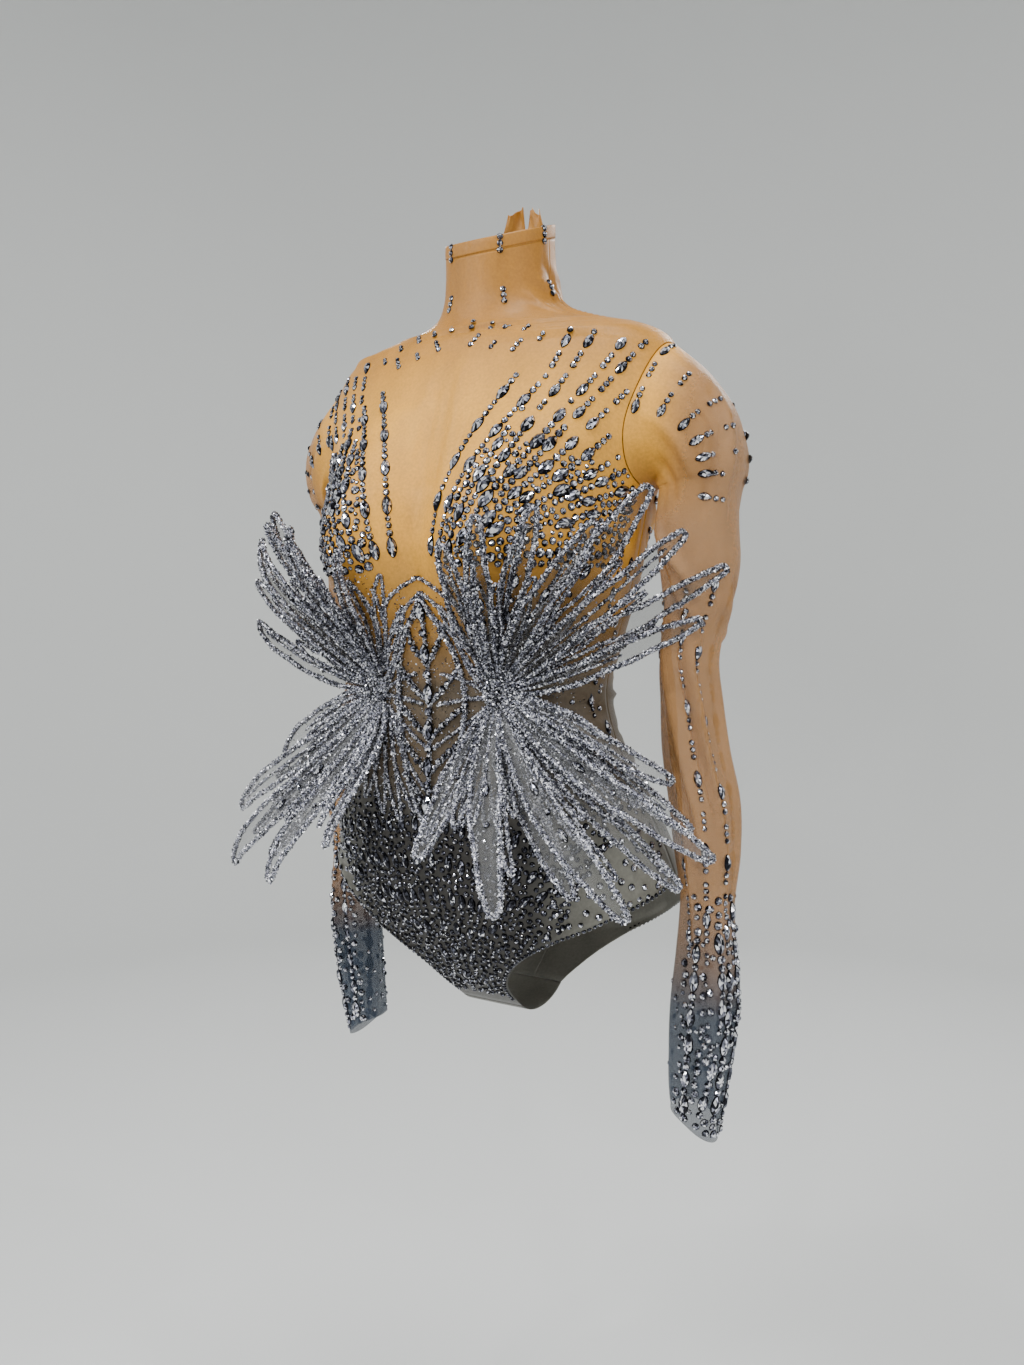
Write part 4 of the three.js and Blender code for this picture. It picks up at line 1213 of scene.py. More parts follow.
def net_material(name, heights, colours, alpha, patch=None, steps=(), patch_alpha=1.0):
    """Stretch net, mottled, with fine ribs: colours at heights, and one more where the steps all hold."""
    if name in bpy.data.materials:
        return bpy.data.materials[name]
    made, tree, shader = new_material(
        name,
        **{
            "Roughness": 0.42,
            "Sheen Weight": 0.05,
            "Sheen Roughness": 0.4,
            "Specular IOR Level": 0.3,
            "Alpha": alpha,
        },
    )
    coordinates = node(tree, "TexCoord")
    place = node(tree, "SeparateXYZ", {0: coordinates.outputs["Object"]})
    low, high = heights[0], heights[-1]
    share = node(tree, "MapRange", {"Value": place.outputs["Z"], "From Min": low, "From Max": high})
    stops = [((height - low) / (high - low), colour) for height, colour in zip(heights, colours)]
    colour = ramp(tree, share.outputs[0], stops).outputs[0]
    if patch is not None:
        mask = zone(tree, place, steps)
        colour = node(tree, "Mix", {0: mask, 6: colour, 7: (*patch, 1)}, data_type="RGBA").outputs[2]
        clear = node(tree, "MapRange", {"Value": mask, "To Min": alpha, "To Max": patch_alpha})
        tree.links.new(clear.outputs[0], shader.inputs["Alpha"])
    mottle = mottled(tree, coordinates, 0.5)
    shaded = node(tree, "VectorMath", {0: colour, "Scale": mottle.outputs[0]}, operation="SCALE")
    tree.links.new(shaded.outputs[0], shader.inputs["Base Color"])
    weave = woven(tree, coordinates)
    bump = node(tree, "Bump", {"Height": weave.outputs[0], "Strength": 0.25, "Distance": 0.0002})
    tree.links.new(bump.outputs[0], shader.inputs["Normal"])
    return made


def zone(tree, place, steps):
    """The product of soft steps along X without its sign, Y or Z, each from none at start to full at end."""
    across = node(tree, "Math", {0: place.outputs["X"]}, operation="ABSOLUTE")
    sources = {"x": across.outputs[0], "y": place.outputs["Y"], "z": place.outputs["Z"]}
    mask = None
    for axis, start, end in steps:
        step = node(
            tree,
            "MapRange",
            {"Value": sources[axis], "From Min": start, "From Max": end},
            interpolation_type="SMOOTHSTEP",
        )
        if mask is None:
            mask = step.outputs[0]
        else:
            mask = node(tree, "Math", {0: mask, 1: step.outputs[0]}, operation="MULTIPLY").outputs[0]
    return mask


# Where the brief's colour and the closer net over the armhole lie.
BRIEF_STEPS = (("z", -0.395, -0.455), ("x", 0.15, 0.07), ("y", 0.02, -0.04))
ARMHOLE_STEPS = (("z", -0.2, -0.13), ("x", 0.205, 0.168))


def body_material():
    """The net of the body: golden nude, dark at the waist with painted shade from the petals over the net's
    olive tone, dark at the brief, grey at the hips.
    """
    cloth = bpy.context.scene.bodysuit_cloth
    # The waist stops hold painted shade from the petals.
    colours = (cloth.hip, cloth.hip, cloth.waist, cloth.waist, cloth.nude, cloth.nude, cloth.neck)
    heights = (-0.65, -0.46, -0.4, -0.33, -0.21, -0.1, -0.015)
    return net_material("net_body", heights, colours, 1.0, cloth.brief, BRIEF_STEPS)


def sleeve_material():
    """The net of the sleeves: sheerer, and blue grey at the hands."""
    cloth = bpy.context.scene.bodysuit_cloth
    colours = (cloth.cuff, cloth.sleeve, cloth.sleeve)
    return net_material("net_sleeve", (-0.6, -0.5, 0.1), colours, 0.5, cloth.nude, ARMHOLE_STEPS, 0.97)


def tape_material():
    """Woven tape."""
    cloth = bpy.context.scene.bodysuit_cloth
    return net_material("woven_tape", (-1, 1), (cloth.sleeve, cloth.sleeve), 1.0)


def organza_material(fan):
    """Stiff organza: a half clear net with a slight silver gloss, browner and darker in the upper fans with
    painted shade.
    """
    name = f"organza_{fan}"
    if name in bpy.data.materials:
        return bpy.data.materials[name]
    made, tree, shader = new_material(name, **{"Roughness": 0.4, "Specular IOR Level": 0.5})
    coordinates = node(tree, "TexCoord")
    mottle = mottled(tree, coordinates, 0.9)
    petals = bpy.context.scene.bodysuit_petals
    # The upper fans take the colour darkened with painted shade.
    web = petals.shaded_web_upper if fan == "upper" else petals.web
    shaded = node(tree, "VectorMath", {0: tuple(web), "Scale": mottle.outputs[0]}, operation="SCALE")
    tree.links.new(shaded.outputs[0], shader.inputs["Base Color"])
    weave = woven(tree, coordinates)
    cover = {"Value": weave.outputs[0], "From Min": -1.0, "To Min": 0.14, "To Max": 0.3}
    clear = node(tree, "MapRange", cover)
    tree.links.new(clear.outputs[0], shader.inputs["Alpha"])
    bump = node(tree, "Bump", {"Height": mottle.outputs[0], "Strength": 0.35, "Distance": 0.0006})
    tree.links.new(bump.outputs[0], shader.inputs["Normal"])
    return made


# Colours of painted reflection: near black for the dark room, bluish grey, and white for a glint.
REFLECTION_STOPS = (
    (0.0, (0.004, 0.004, 0.006)),
    (0.2, (0.022, 0.022, 0.03)),
    (0.45, (0.12, 0.124, 0.158)),
    (0.7, (0.36, 0.368, 0.45)),
    (0.9, (0.96, 0.96, 1.0)),
)


def glitter_material():
    """The ground of a glitter cord: tiny tilted silver cells on dark grey, whose colours are painted glints
    and dark reflections.
    """
    if "glitter" in bpy.data.materials:
        return bpy.data.materials["glitter"]
    made, tree, shader = new_material("glitter", Roughness=0.28, Metallic=0.85)
    coordinates = node(tree, "TexCoord")
    cells = grouped(
        tree,
        glitter_group(),
        {"Vector": coordinates.outputs["Object"], "Size": 0.0009, "Tilt": 1.3},
    )
    colour = ramp(tree, cells.outputs["Tone"], REFLECTION_STOPS)
    tree.links.new(colour.outputs[0], shader.inputs["Base Color"])
    tree.links.new(cells.outputs["Normal"], shader.inputs["Normal"])
    return made


def facet_material(name, roughness, metallic):
    """Silvered facets, each of a tone of its own that the mesh holds: painted glints and dark reflections."""
    if name in bpy.data.materials:
        return bpy.data.materials[name]
    made, tree, shader = new_material(name, Roughness=roughness, Metallic=metallic)
    tone = node(tree, "Attribute", attribute_name="tone")
    colour = ramp(tree, tone.outputs["Fac"], REFLECTION_STOPS)
    tree.links.new(colour.outputs[0], shader.inputs["Base Color"])
    return made


def crumb_material():
    """Silver glitter crumbs, with painted glints and dark reflections on their faces."""
    return facet_material("crumb", 0.3, 0.7)


def crystal_material():
    """Foil-backed cut stones, with painted glints and dark reflections on their facets."""
    return facet_material("cut_stone", 0.09, 0.85)


def cord_materials():
    """What a glitter cord is made of: its ground and its crumbs."""
    return [glitter_material(), crumb_material()]


class Maker(bpy.types.Operator):
    """What the operators share."""

    bl_options = {"REGISTER"}

    def execute(self, context):
        self.make(context)
        return {"FINISHED"}


class BODYSUIT_OT_front(Maker):
    """Makes the front, cut in one from the neck to the gusset"""

    bl_idname = "bodysuit.front"
    bl_label = "Front"

    def make(self, context):
        rows, shares = panel_rows(*PANEL_ROWS), np.linspace(-1, 1, 91)
        row, share = np.meshgrid(rows, shares, indexing="ij")
        outer, normal = torso_skin(row, panel_angle(share, row, "front"))
        piece = cloth_sheet(
            "front_cloth", outer, normal, ("top", "bottom", "sides"), False, body_material(), ["front_body"]
        )


class BODYSUIT_OT_back(Maker):
    """Makes the two halves of the back"""

    bl_idname = "bodysuit.back"
    bl_label = "Back"

    def make(self, context):
        rows, shares = panel_rows(*PANEL_ROWS), np.linspace(0, 1, 45)
        row, share = np.meshgrid(rows, shares, indexing="ij")
        for name, side in SIDES.items():
            outer, normal = torso_skin(row, side * (180 - panel_angle(share, row, "back")))
            piece = cloth_sheet(
                f"back_cloth_{name}",
                outer,
                normal,
                ("top", "bottom", "sides"),
                False,
                body_material(),
                [f"back_body_{name}"],
            )


class BODYSUIT_OT_gusset(Maker):
    """Makes the piece between the legs"""

    bl_idname = "bodysuit.gusset"
    bl_label = "Gusset"

    def make(self, context):
        v, u = np.meshgrid(np.linspace(0, 1, 25), np.linspace(-1, 1, 25), indexing="ij")
        last = np.full(u.shape, float(LAST_ROW))
        ends = []
        for start in (0, 180):
            angle = u * GUSSET["angle"] if start == 0 else 180 - u * GUSSET["angle"]
            point = torso(last, angle)
            heading = unit(point - torso(last - 0.05, angle)) * GUSSET["curve"]
            ends.append((point, heading, torso_normal(last, angle)))
        (a, leave, normal_0), (d, arrive, normal_1) = ends
        t = v[..., None]
        middle = bezier(a, a + leave, d + arrive, d, t)
        tangent = np.gradient(middle, axis=0)
        under = unit(np.stack([0 * v, tangent[..., 2], -tangent[..., 1]], axis=-1))
        normal = unit(mix(under, mix(normal_0, normal_1, t), np.abs(2 * t - 1) ** 8))
        outer = middle + normal * SKIN
        piece = cloth_sheet(
            "gusset_cloth", outer, normal, ("top", "bottom"), False, body_material(), ["gusset"]
        )


class BODYSUIT_OT_neck_band(Maker):
    """Makes the turned band on the neck's rim"""

    bl_idname = "bodysuit.neck_band"
    bl_label = "Neck band"

    def make(self, context):
        angle, share = np.linspace(0, 360, 97)[:-1], np.linspace(1, 0, 9)
        share, angle = np.meshgrid(share, angle, indexing="ij")
        row = np.zeros(angle.shape)
        normal = torso_normal(row, angle)
        roll = BAND["lift"] * (1 - 0.5 * share**6) + 0.12 * np.sin(share * np.pi)
        outer = torso(row, angle) + normal * (SKIN + roll)[..., None]
        outer[..., 2] += mix(SEAM_GAP / 2, BAND["height"], share)
        piece = cloth_sheet("neck_band_cloth", outer, normal, (), True, body_material(), ["neck_band"])


class BODYSUIT_OT_closure(Maker):
    """Makes the tape over the back seam and the two loose ends above it"""

    bl_idname = "bodysuit.closure"
    bl_label = "Closure"

    def make(self, context):
        rows, shares = np.linspace(0, CLOSURE["last_row"], 140), np.linspace(-1, 1, 9)
        row, share = np.meshgrid(rows, shares, indexing="ij")
        half = along(TORSO["half"], row)
        depth = (along(TORSO["back"], row) - along(TORSO["front"], row)) / 2
        angle = 180 + np.degrees(share * CLOSURE["width"] / 2 / np.maximum(half, depth))
        crown = mix(CLOSURE["low"], CLOSURE["high"], np.sqrt(np.clip(1 - share**4, 0, 1)))
        outer, normal = torso_skin(row, angle, crown - SKIN)
        piece = cloth_sheet(
            "closure_tape_cloth", outer, normal, ("top",), False, tape_material(), ["closure_tape"], "tape"
        )
        for name, side in SIDES.items():
            self.loose_end(name, side)

    def loose_end(self, name, side):
        """A ruffled flap: a wave that grows with height, curling away at its outer edge."""
        up, across = np.meshgrid(np.linspace(1, 0, 22), np.linspace(0, 1, 29), indexing="ij")
        row = np.zeros(1)
        foot = torso(row, np.array([180.0]))[0]
        base = foot[2] + BAND["height"] + SEAM_GAP
        end = CLOSURE_END
        wave = end["depth"] * up * (side + np.sin(across * end["waves"] + side))
        wave += 0.7 * up * np.sin(across * 21 + 2 * side + 3 * up)
        height = end["rise"] * up * (1 - 0.3 * across + 0.12 * np.sin(across * end["curl"]))
        outer = np.stack(
            [
                side * (end["start"] + across * end["width"] * (1 - end["taper"] * up)),
                foot[1] - end["curl"] * across**2 + wave + 0.3,
                base + height,
            ],
            axis=-1,
        )
        normal = unit(np.cross(np.gradient(outer, axis=0), np.gradient(outer, axis=1))) * side
        piece = cloth_sheet(
            f"closure_end_cloth_{name}", outer, normal, (), False, body_material(), [f"closure_end_{name}"]
        )


class BODYSUIT_OT_sleeves(Maker):
    """Makes the two long sleeves"""

    bl_idname = "bodysuit.sleeves"
    bl_label = "Sleeves"

    def make(self, context):
        rings = np.concatenate([np.linspace(0, 1, 9)[:-1], np.linspace(1, LAST_RING, 122)])
        turns = np.linspace(0, 360, 81)[:-1]
        ring, turn = np.meshgrid(rings, turns, indexing="ij")
        for name, side in SIDES.items():
            outer, normal = sleeve_skin(ring, turn, side)
            piece = cloth_sheet(
                f"sleeve_cloth_{name}", outer, normal, (), True, sleeve_material(), [f"sleeve_{name}"]
            )


class BODYSUIT_OT_petals(Maker):
    """Makes the fans of organza petals with their glitter edges"""

    bl_idname = "bodysuit.petals"
    bl_label = "Petals"

    def make(self, context):
        for name, side in SIDES.items():
            for fan, rows in PETALS.items():
                for i in range(len(rows["x"])):
                    self.petal(fan, i, name, side)

    def petal(self, fan, i, name, side):
        """A cupped finger of organza with a cord that runs round its edge, veins and scattered crumbs."""
        rng = np.random.default_rng(1000 + 100 * (fan == "lower") + 10 * i + (side > 0))
        share = eased(44)
        centre, out, row = petal_line(fan, i, share)
        widest = row["half"] * FINGER["width"]
        half = mix(PETAL["root_half"], widest, np.sin(np.pi * share) ** FINGER["power"])
        web, normal, edges = finger(centre, out, half, share, rng)
        flip = np.array([side, 1, 1])
        web, normal = web * flip, normal * flip * side
        piece = cloth_sheet(
            f"petal_web_{fan}_{name}_{i + 1}",
            web,
            normal,
            (),
            False,
            organza_material(fan),
            [f"petal_{fan}_{name}_{i + 1}"],
            "organza",
        )
        edge = Shape()
        radius = bpy.context.scene.bodysuit_petals.cord / MM
        reference = np.broadcast_to(out * flip, (2 * len(share), 3))
        cord(edge, edges * flip, radius, reference, rng, 1.9, 6, **CORD_REFLECTIONS[fan])
        self.veins(edge, web, fan, row, out * flip, rng)
        dust(edge, web, normal, row["dusted"] * DUST[fan], mix(3.0, 1.0, row["dusted"]), rng)
        edge.build(f"petal_edge_{fan}_{name}_{i + 1}", cord_materials(), "organza")

    def veins(self, shape, web, fan, row, out, rng):
        """Thinner cords up the inside of a petal, each to a length of its own."""
        columns = web.shape[1]
        for _ in range(1 + int(3 * row["dusted"])):
            j = int(mix(0.25, 0.75, rng.random()) * (columns - 1))
            last = int(mix(0.42, 0.86, rng.random()) * web.shape[0])
            path = web[:last, j]
            cord(shape, path, 1.2, np.broadcast_to(out, path.shape), rng, 2.0, 5, **CORD_REFLECTIONS[fan])


def finger(centre, out, half, share, rng):
    """A cupped, slightly waved strip along a line, and the line round its edge from root to root."""
    tangent, _, _ = frames_along(centre, out)
    wide = unit(np.cross(tangent, out))
    thick = np.cross(wide, tangent)
    phase = rng.uniform(0, 2 * np.pi, 4)
    swell = np.sin(np.pi * share)
    waver = [
        swell * (np.sin(share * 9 + slow) + 0.6 * np.sin(share * 23 + fast))
        for slow, fast in zip(phase[:2], phase[2:])
    ]
    across = np.linspace(-1, 1, 9)
    width = np.where(across[None] < 0, (half + waver[0])[:, None], (half + waver[1])[:, None])
    cup = 0.3 * half[:, None] * swell[:, None] * (across[None] ** 2 - 1)
    crimp = 0.4 * swell[:, None] * np.sin(across[None] * 5 + 3 * share[:, None] + phase[0])
    web = centre[:, None] + wide[:, None] * (across[None] * width)[..., None]
    web = web + thick[:, None] * (cup + crimp)[..., None]
    normal = unit(np.cross(np.gradient(web, axis=0), np.gradient(web, axis=1)))
    edges = np.concatenate([web[:, 0], web[::-1, -1]])
    return web, normal, edges


def dust(shape, web, normal, crowd, power, rng):
    """Crumbs over both faces of a web: crowd for each millimetre of its length, denser at the root."""
    rows, columns = web.shape[:2]
    middle = web[:, columns // 2]
    walked = grid_length(middle)
    count = int(walked[-1] * crowd)
    at = rng.random(count * 2)
    at = at[rng.random(count * 2) < (1 - at) ** power]
    place = np.interp(at, walked / walked[-1], np.arange(rows))
    i = np.clip(place, 0, rows - 2).astype(int)
    u, v = (place - i)[:, None], rng.random((len(i), 1)) * (columns - 1)
    j = np.clip(v[:, 0], 0, columns - 2).astype(int)
    v = v - j[:, None]
    point = mix(mix(web[i, j], web[i + 1, j], u), mix(web[i, j + 1], web[i + 1, j + 1], u), v)
    face = np.where(rng.random(len(i)) < 0.65, 1.0, -1.0)[:, None]
    add_crumbs(shape, point, normal[i, j] * face, 0.85 * crumb_size(), rng, *WEB_REFLECTIONS)


class BODYSUIT_OT_inner_petals(Maker):
    """Makes the short glittered loops between the petals"""

    bl_idname = "bodysuit.inner_petals"
    bl_label = "Inner petals"

    def make(self, context):
        for name, side in SIDES.items():
            flip = np.array([side, 1, 1])
            for fan, rows in PETALS.items():
                rng = np.random.default_rng(300 + 10 * (fan == "lower") + side)
                loops = Shape()
                count = len(rows["x"])
                for i in range(count - 1):
                    for lean, low, high in INNER_LOOPS[fan]:
                        self.loop(loops, fan, i, lean, rng.uniform(low, high), flip, rng)
                loops.build(f"petals_inner_{fan}_{name}", cord_materials(), "organza")

    def loop(self, shape, fan, i, lean, reach, flip, rng):
        """A loop between two petals, reaching up a share of their length."""
        share = eased(32)
        (line_a, out, row), (line_b, _, _) = (petal_line(fan, k, share * reach) for k in (i, i + 1))
        centre = mix(line_a, line_b, lean) + out * (rng.uniform(-3, 4) * np.sin(np.pi * share))[:, None]
        half = mix(1.2, rng.uniform(4.0, 5.6), np.sin(np.pi * share) ** 0.7)
        web, normal, edges = finger(centre, out, half, share, rng)
        web, normal = web * flip, normal * flip * flip[0]
        reference = np.broadcast_to(out * flip, edges.shape)
        cord(shape, edges * flip, 1.5, reference, rng, 2.0, 5, **CORD_REFLECTIONS[fan])
        dust(shape, web, normal, DUST[fan] * max(row["dusted"], 0.3), 1.5, rng)


class BODYSUIT_OT_bosses(Maker):
    """Makes the stone bosses that the petals are sewn round"""

    bl_idname = "bodysuit.bosses"
    bl_label = "Bosses"

    def make(self, context):
        for name, side in SIDES.items():
            rng = np.random.default_rng(40 + side)
            point, out, across, up = curved_frame(side)
            sides = 32
            turn = np.linspace(0, 2 * np.pi, sides + 1)[:-1]
            radius = np.array([1.0, 1.0, 0.97, 0.85, 0.6, 0.3]) * BOSS["radius"]
            height = np.array([0, 0.62, 0.78, 0.9, 0.97, 1.0]) * (BOSS["thickness"] - 1.5)
            height = height + SKIN + BOSS["foot"]
            ring = np.cos(turn)[:, None] * across + np.sin(turn)[:, None] * up
            rings = point + radius[:, None, None] * ring + height[:, None, None] * out
            peak, foot = point + out * (height[-1] + 0.1), point + out * height[0]
            points = np.concatenate([rings.reshape(-1, 3), [foot], [peak]])
            j = np.arange(sides)
            k = (j + 1) % sides
            under, last = len(radius) * sides, (len(radius) - 1) * sides
            low = np.stack([np.full(sides, under), k, j], axis=-1)
            high = np.stack([np.full(sides, under + 1), last + j, last + k], axis=-1)
            dome = Shape()
            dome.add(points, [grid_faces(len(radius), sides, True), low, high])
            normals = unit(rings - (point + out * 3))
            crumbs_on_rings(dome, rings, normals, 1.5, rng)
            dome.build(f"boss_dome_{name}", cord_materials(), "crystal", [f"boss_{name}"])
            stones = Setting(50 + side)
            count = 46
            order = np.arange(count) + 0.5
            tilt = np.arccos(1 - order / count)
            spin = order * math.pi * (3 - math.sqrt(5))
            ray = np.sin(tilt)[:, None] * (np.cos(spin)[:, None] * across + np.sin(spin)[:, None] * up)
            ray = ray + np.cos(tilt)[:, None] * out
            place = point + out * (height[0] + 1.5) + ray * np.array([BOSS["radius"] - 0.6])
            width = np.where(np.arange(count) % 3 == 0, 4.6, 3.4)
            stones.set(
                {
                    "point": place,
                    "normal": unit(ray),
                    "heading": unit(np.cross(ray, up + 0.1 * out)),
                    "length": width.astype(float),
                    "width": width.astype(float),
                },
                0.0,
            )
            stones.build(f"boss_stones_{name}")


def applique_place(across, down):
    """A place on the applique, by its share of the half width and of the length, as x and z."""
    row = mix(APPLIQUE["first_row"], APPLIQUE["last_row"], down)
    half = along(APPLIQUE_WIDTHS, down * (len(APPLIQUE_WIDTHS) - 1))
    return across * half, along(TORSO["z"], row)


def cord_on_front(shape, x, z, radius, rng, lift=0.0):
    """A glitter cord that lies on the front along places in x and z."""
    path, normal = front_skin(x, z)
    cord(shape, path + normal * (radius * 0.75 + lift), radius, normal, rng)


class BODYSUIT_OT_applique(Maker):
    """Makes the open lattice of glitter cords on the front of the waist"""

    bl_idname = "bodysuit.applique"
    bl_label = "Applique"

    def make(self, context):
        rng = np.random.default_rng(70)
        lattice = Shape()
        lift = APPLIQUE["low"] - SKIN
        down = np.linspace(0, 1, 90)
        for side in (1, -1):
            x, z = applique_place(side * np.ones(90), down)
            x = x - side * np.minimum(LATTICE["inset"], np.abs(x))
            cord_on_front(lattice, x, z, LATTICE_CORDS["rim"], rng, lift)
        x, z = applique_place(np.zeros(90), down)
        cord_on_front(lattice, x, z, LATTICE_CORDS["middle"], rng, lift)
        for x, z in self.chevrons(np.linspace(0, 0.94, 40)):
            cord_on_front(lattice, x, z, LATTICE_CORDS["chevron"], rng, lift)
        lattice.build("applique_cords", cord_materials(), "organza", ["waist_applique"])
        self.stones()

    def chevrons(self, share):
        """Places along each chevron, at shares of the way out, on one side and then on the other."""
        for i in range(LATTICE["chevrons"]):
            rim = LATTICE["first"] + (i + 1) * LATTICE["pitch"]
            for side in (1, -1):
                fall = rim + LATTICE["drop"] * (1 - share)
                yield applique_place(side * share, np.clip(fall, 0.01, 0.99))

    def stones(self):
        """Pointed and round stones down the middle, and round ones along the chevrons."""
        setting = Setting(71)
        down = np.linspace(0.06, 0.95, 12)
        x, z = applique_place(0 * down, down)
        skin = lifted(front_skin, LATTICE["stone_lift"])
        pointed = np.arange(len(down)) % 2 == 0
        length, width = np.where(pointed, 16.0, 7.2), np.where(pointed, 8.6, 7.2)
        setting.set(stones_at(skin, x, z, (0.0, -1.0), length, width), 0)
        size = np.where(np.arange(7) % 2 == 0, 6.0, 4.6)
        for x, z in self.chevrons(np.linspace(0.12, 0.96, 7)):
            setting.set(stones_at(skin, x, z, (1.0, 0.4), size, size))
        setting.build("applique_stones")


# Cords on the front's net, on the wearer's left, between two places in x and z, with a bow between them.
NET_LINES = (
    (0, -238, 40, -266, 3),
    (0, -250, 36, -288, 3),
    (4, -268, 40, -300, 3),
    (52, -326, 26, -270, -5),
    (50, -330, 31, -292, -4),
    (50, -334, 12, -318, 4),
    (52, -338, 8, -344, 5),
    (50, -346, 2, -382, 4),
    (46, -356, 2, -400, 4),
    (40, -368, 2, -418, 4),
    (58, -322, 42, -246, -6),
    (62, -320, 56, -250, -4),
    (70, -324, 88, -262, 4),
    (76, -332, 108, -300, 4),
    (74, -342, 106, -372, -4),
)
# Loops of cord that hang or rise from beside a boss, with their half width.
NET_LOOPS = (
    (50, -350, 30, -446, 5.5),
    (56, -352, 52, -440, 6.5),
    (44, -352, 14, -436, 5),
    (66, -350, 78, -430, 6.5),
    (52, -318, 32, -236, 5),
    (60, -316, 62, -240, 6.5),
    (44, -324, 18, -262, 4.5),
)


class BODYSUIT_OT_cords(Maker):
    """Makes the glitter cords that lie on the net between the petals"""

    bl_idname = "bodysuit.cords"
    bl_label = "Cords on the net"

    def make(self, context):
        share = eased(40)
        for name, side in SIDES.items():
            rng = np.random.default_rng(80 + side)
            lines = Shape()
            for x_0, z_0, x_1, z_1, bow in NET_LINES:
                bend = np.sin(np.pi * share) * (bow + rng.uniform(-1.5, 1.5))
                x, z = mix(x_0, x_1, share) + bend, mix(z_0, z_1, share) + 0.4 * bend
                cord_on_front(lines, side * x, z, 1.5, rng)
            for x_0, z_0, x_1, z_1, half in NET_LOOPS:
                width = half * np.sin(np.pi * share) ** 0.7 + 0.8
                bend = 4 * np.sin(np.pi * share) * np.sign(x_1 - x_0)
                x, z = mix(x_0, x_1, share) - bend, mix(z_0, z_1, share)
                x, z = np.concatenate([x - width, (x + width)[::-1]]), np.concatenate([z, z[::-1]])
                cord_on_front(lines, side * x, z, 1.5, rng)
            self.dust(lines, side, rng)
            lines.build(f"net_cords_{name}", cord_materials(), "organza")

    def dust(self, shape, side, rng):
        """Crumbs on the net, crowded round the boss and thinner further out."""
        count = 1500
        reach, turn = 82 * rng.random(count) ** 0.8, rng.uniform(0, 2 * np.pi, count)
        x, z = 54 + 0.8 * reach * np.cos(turn), -333 + 1.2 * reach * np.sin(turn)
        keep = (x > 1) & (x < 118) & (z < -236)
        point, normal = front_skin(side * x[keep], z[keep])
        add_crumbs(shape, point + 0.2 * normal, normal, 0.8 * crumb_size(), rng)


# Where the short rows at the foot of the neck start, in x and z.
FOOT_ROWS = ((9, -20), (27, -22), (43, -27), (62, -33), (15, -42), (36, -47), (57, -52), (78, -44))
# The stones of the rays: along the neckline, from the cup outwards, and on to the shoulder.
RAY_EDGE = pattern_of((16.0, 8.4), 6.0, 5.4, 5.0)
RAY_NEAR = pattern_of((17.0, 9.2), 6.6, 6.0, (15.0, 8.2), 6.0, 5.6, 5.2)
RAY_FAR = pattern_of(5.8, 5.4, 5.2, (3, 0), (14.0, 7.4), 5.4, 5.0, (5, 0))


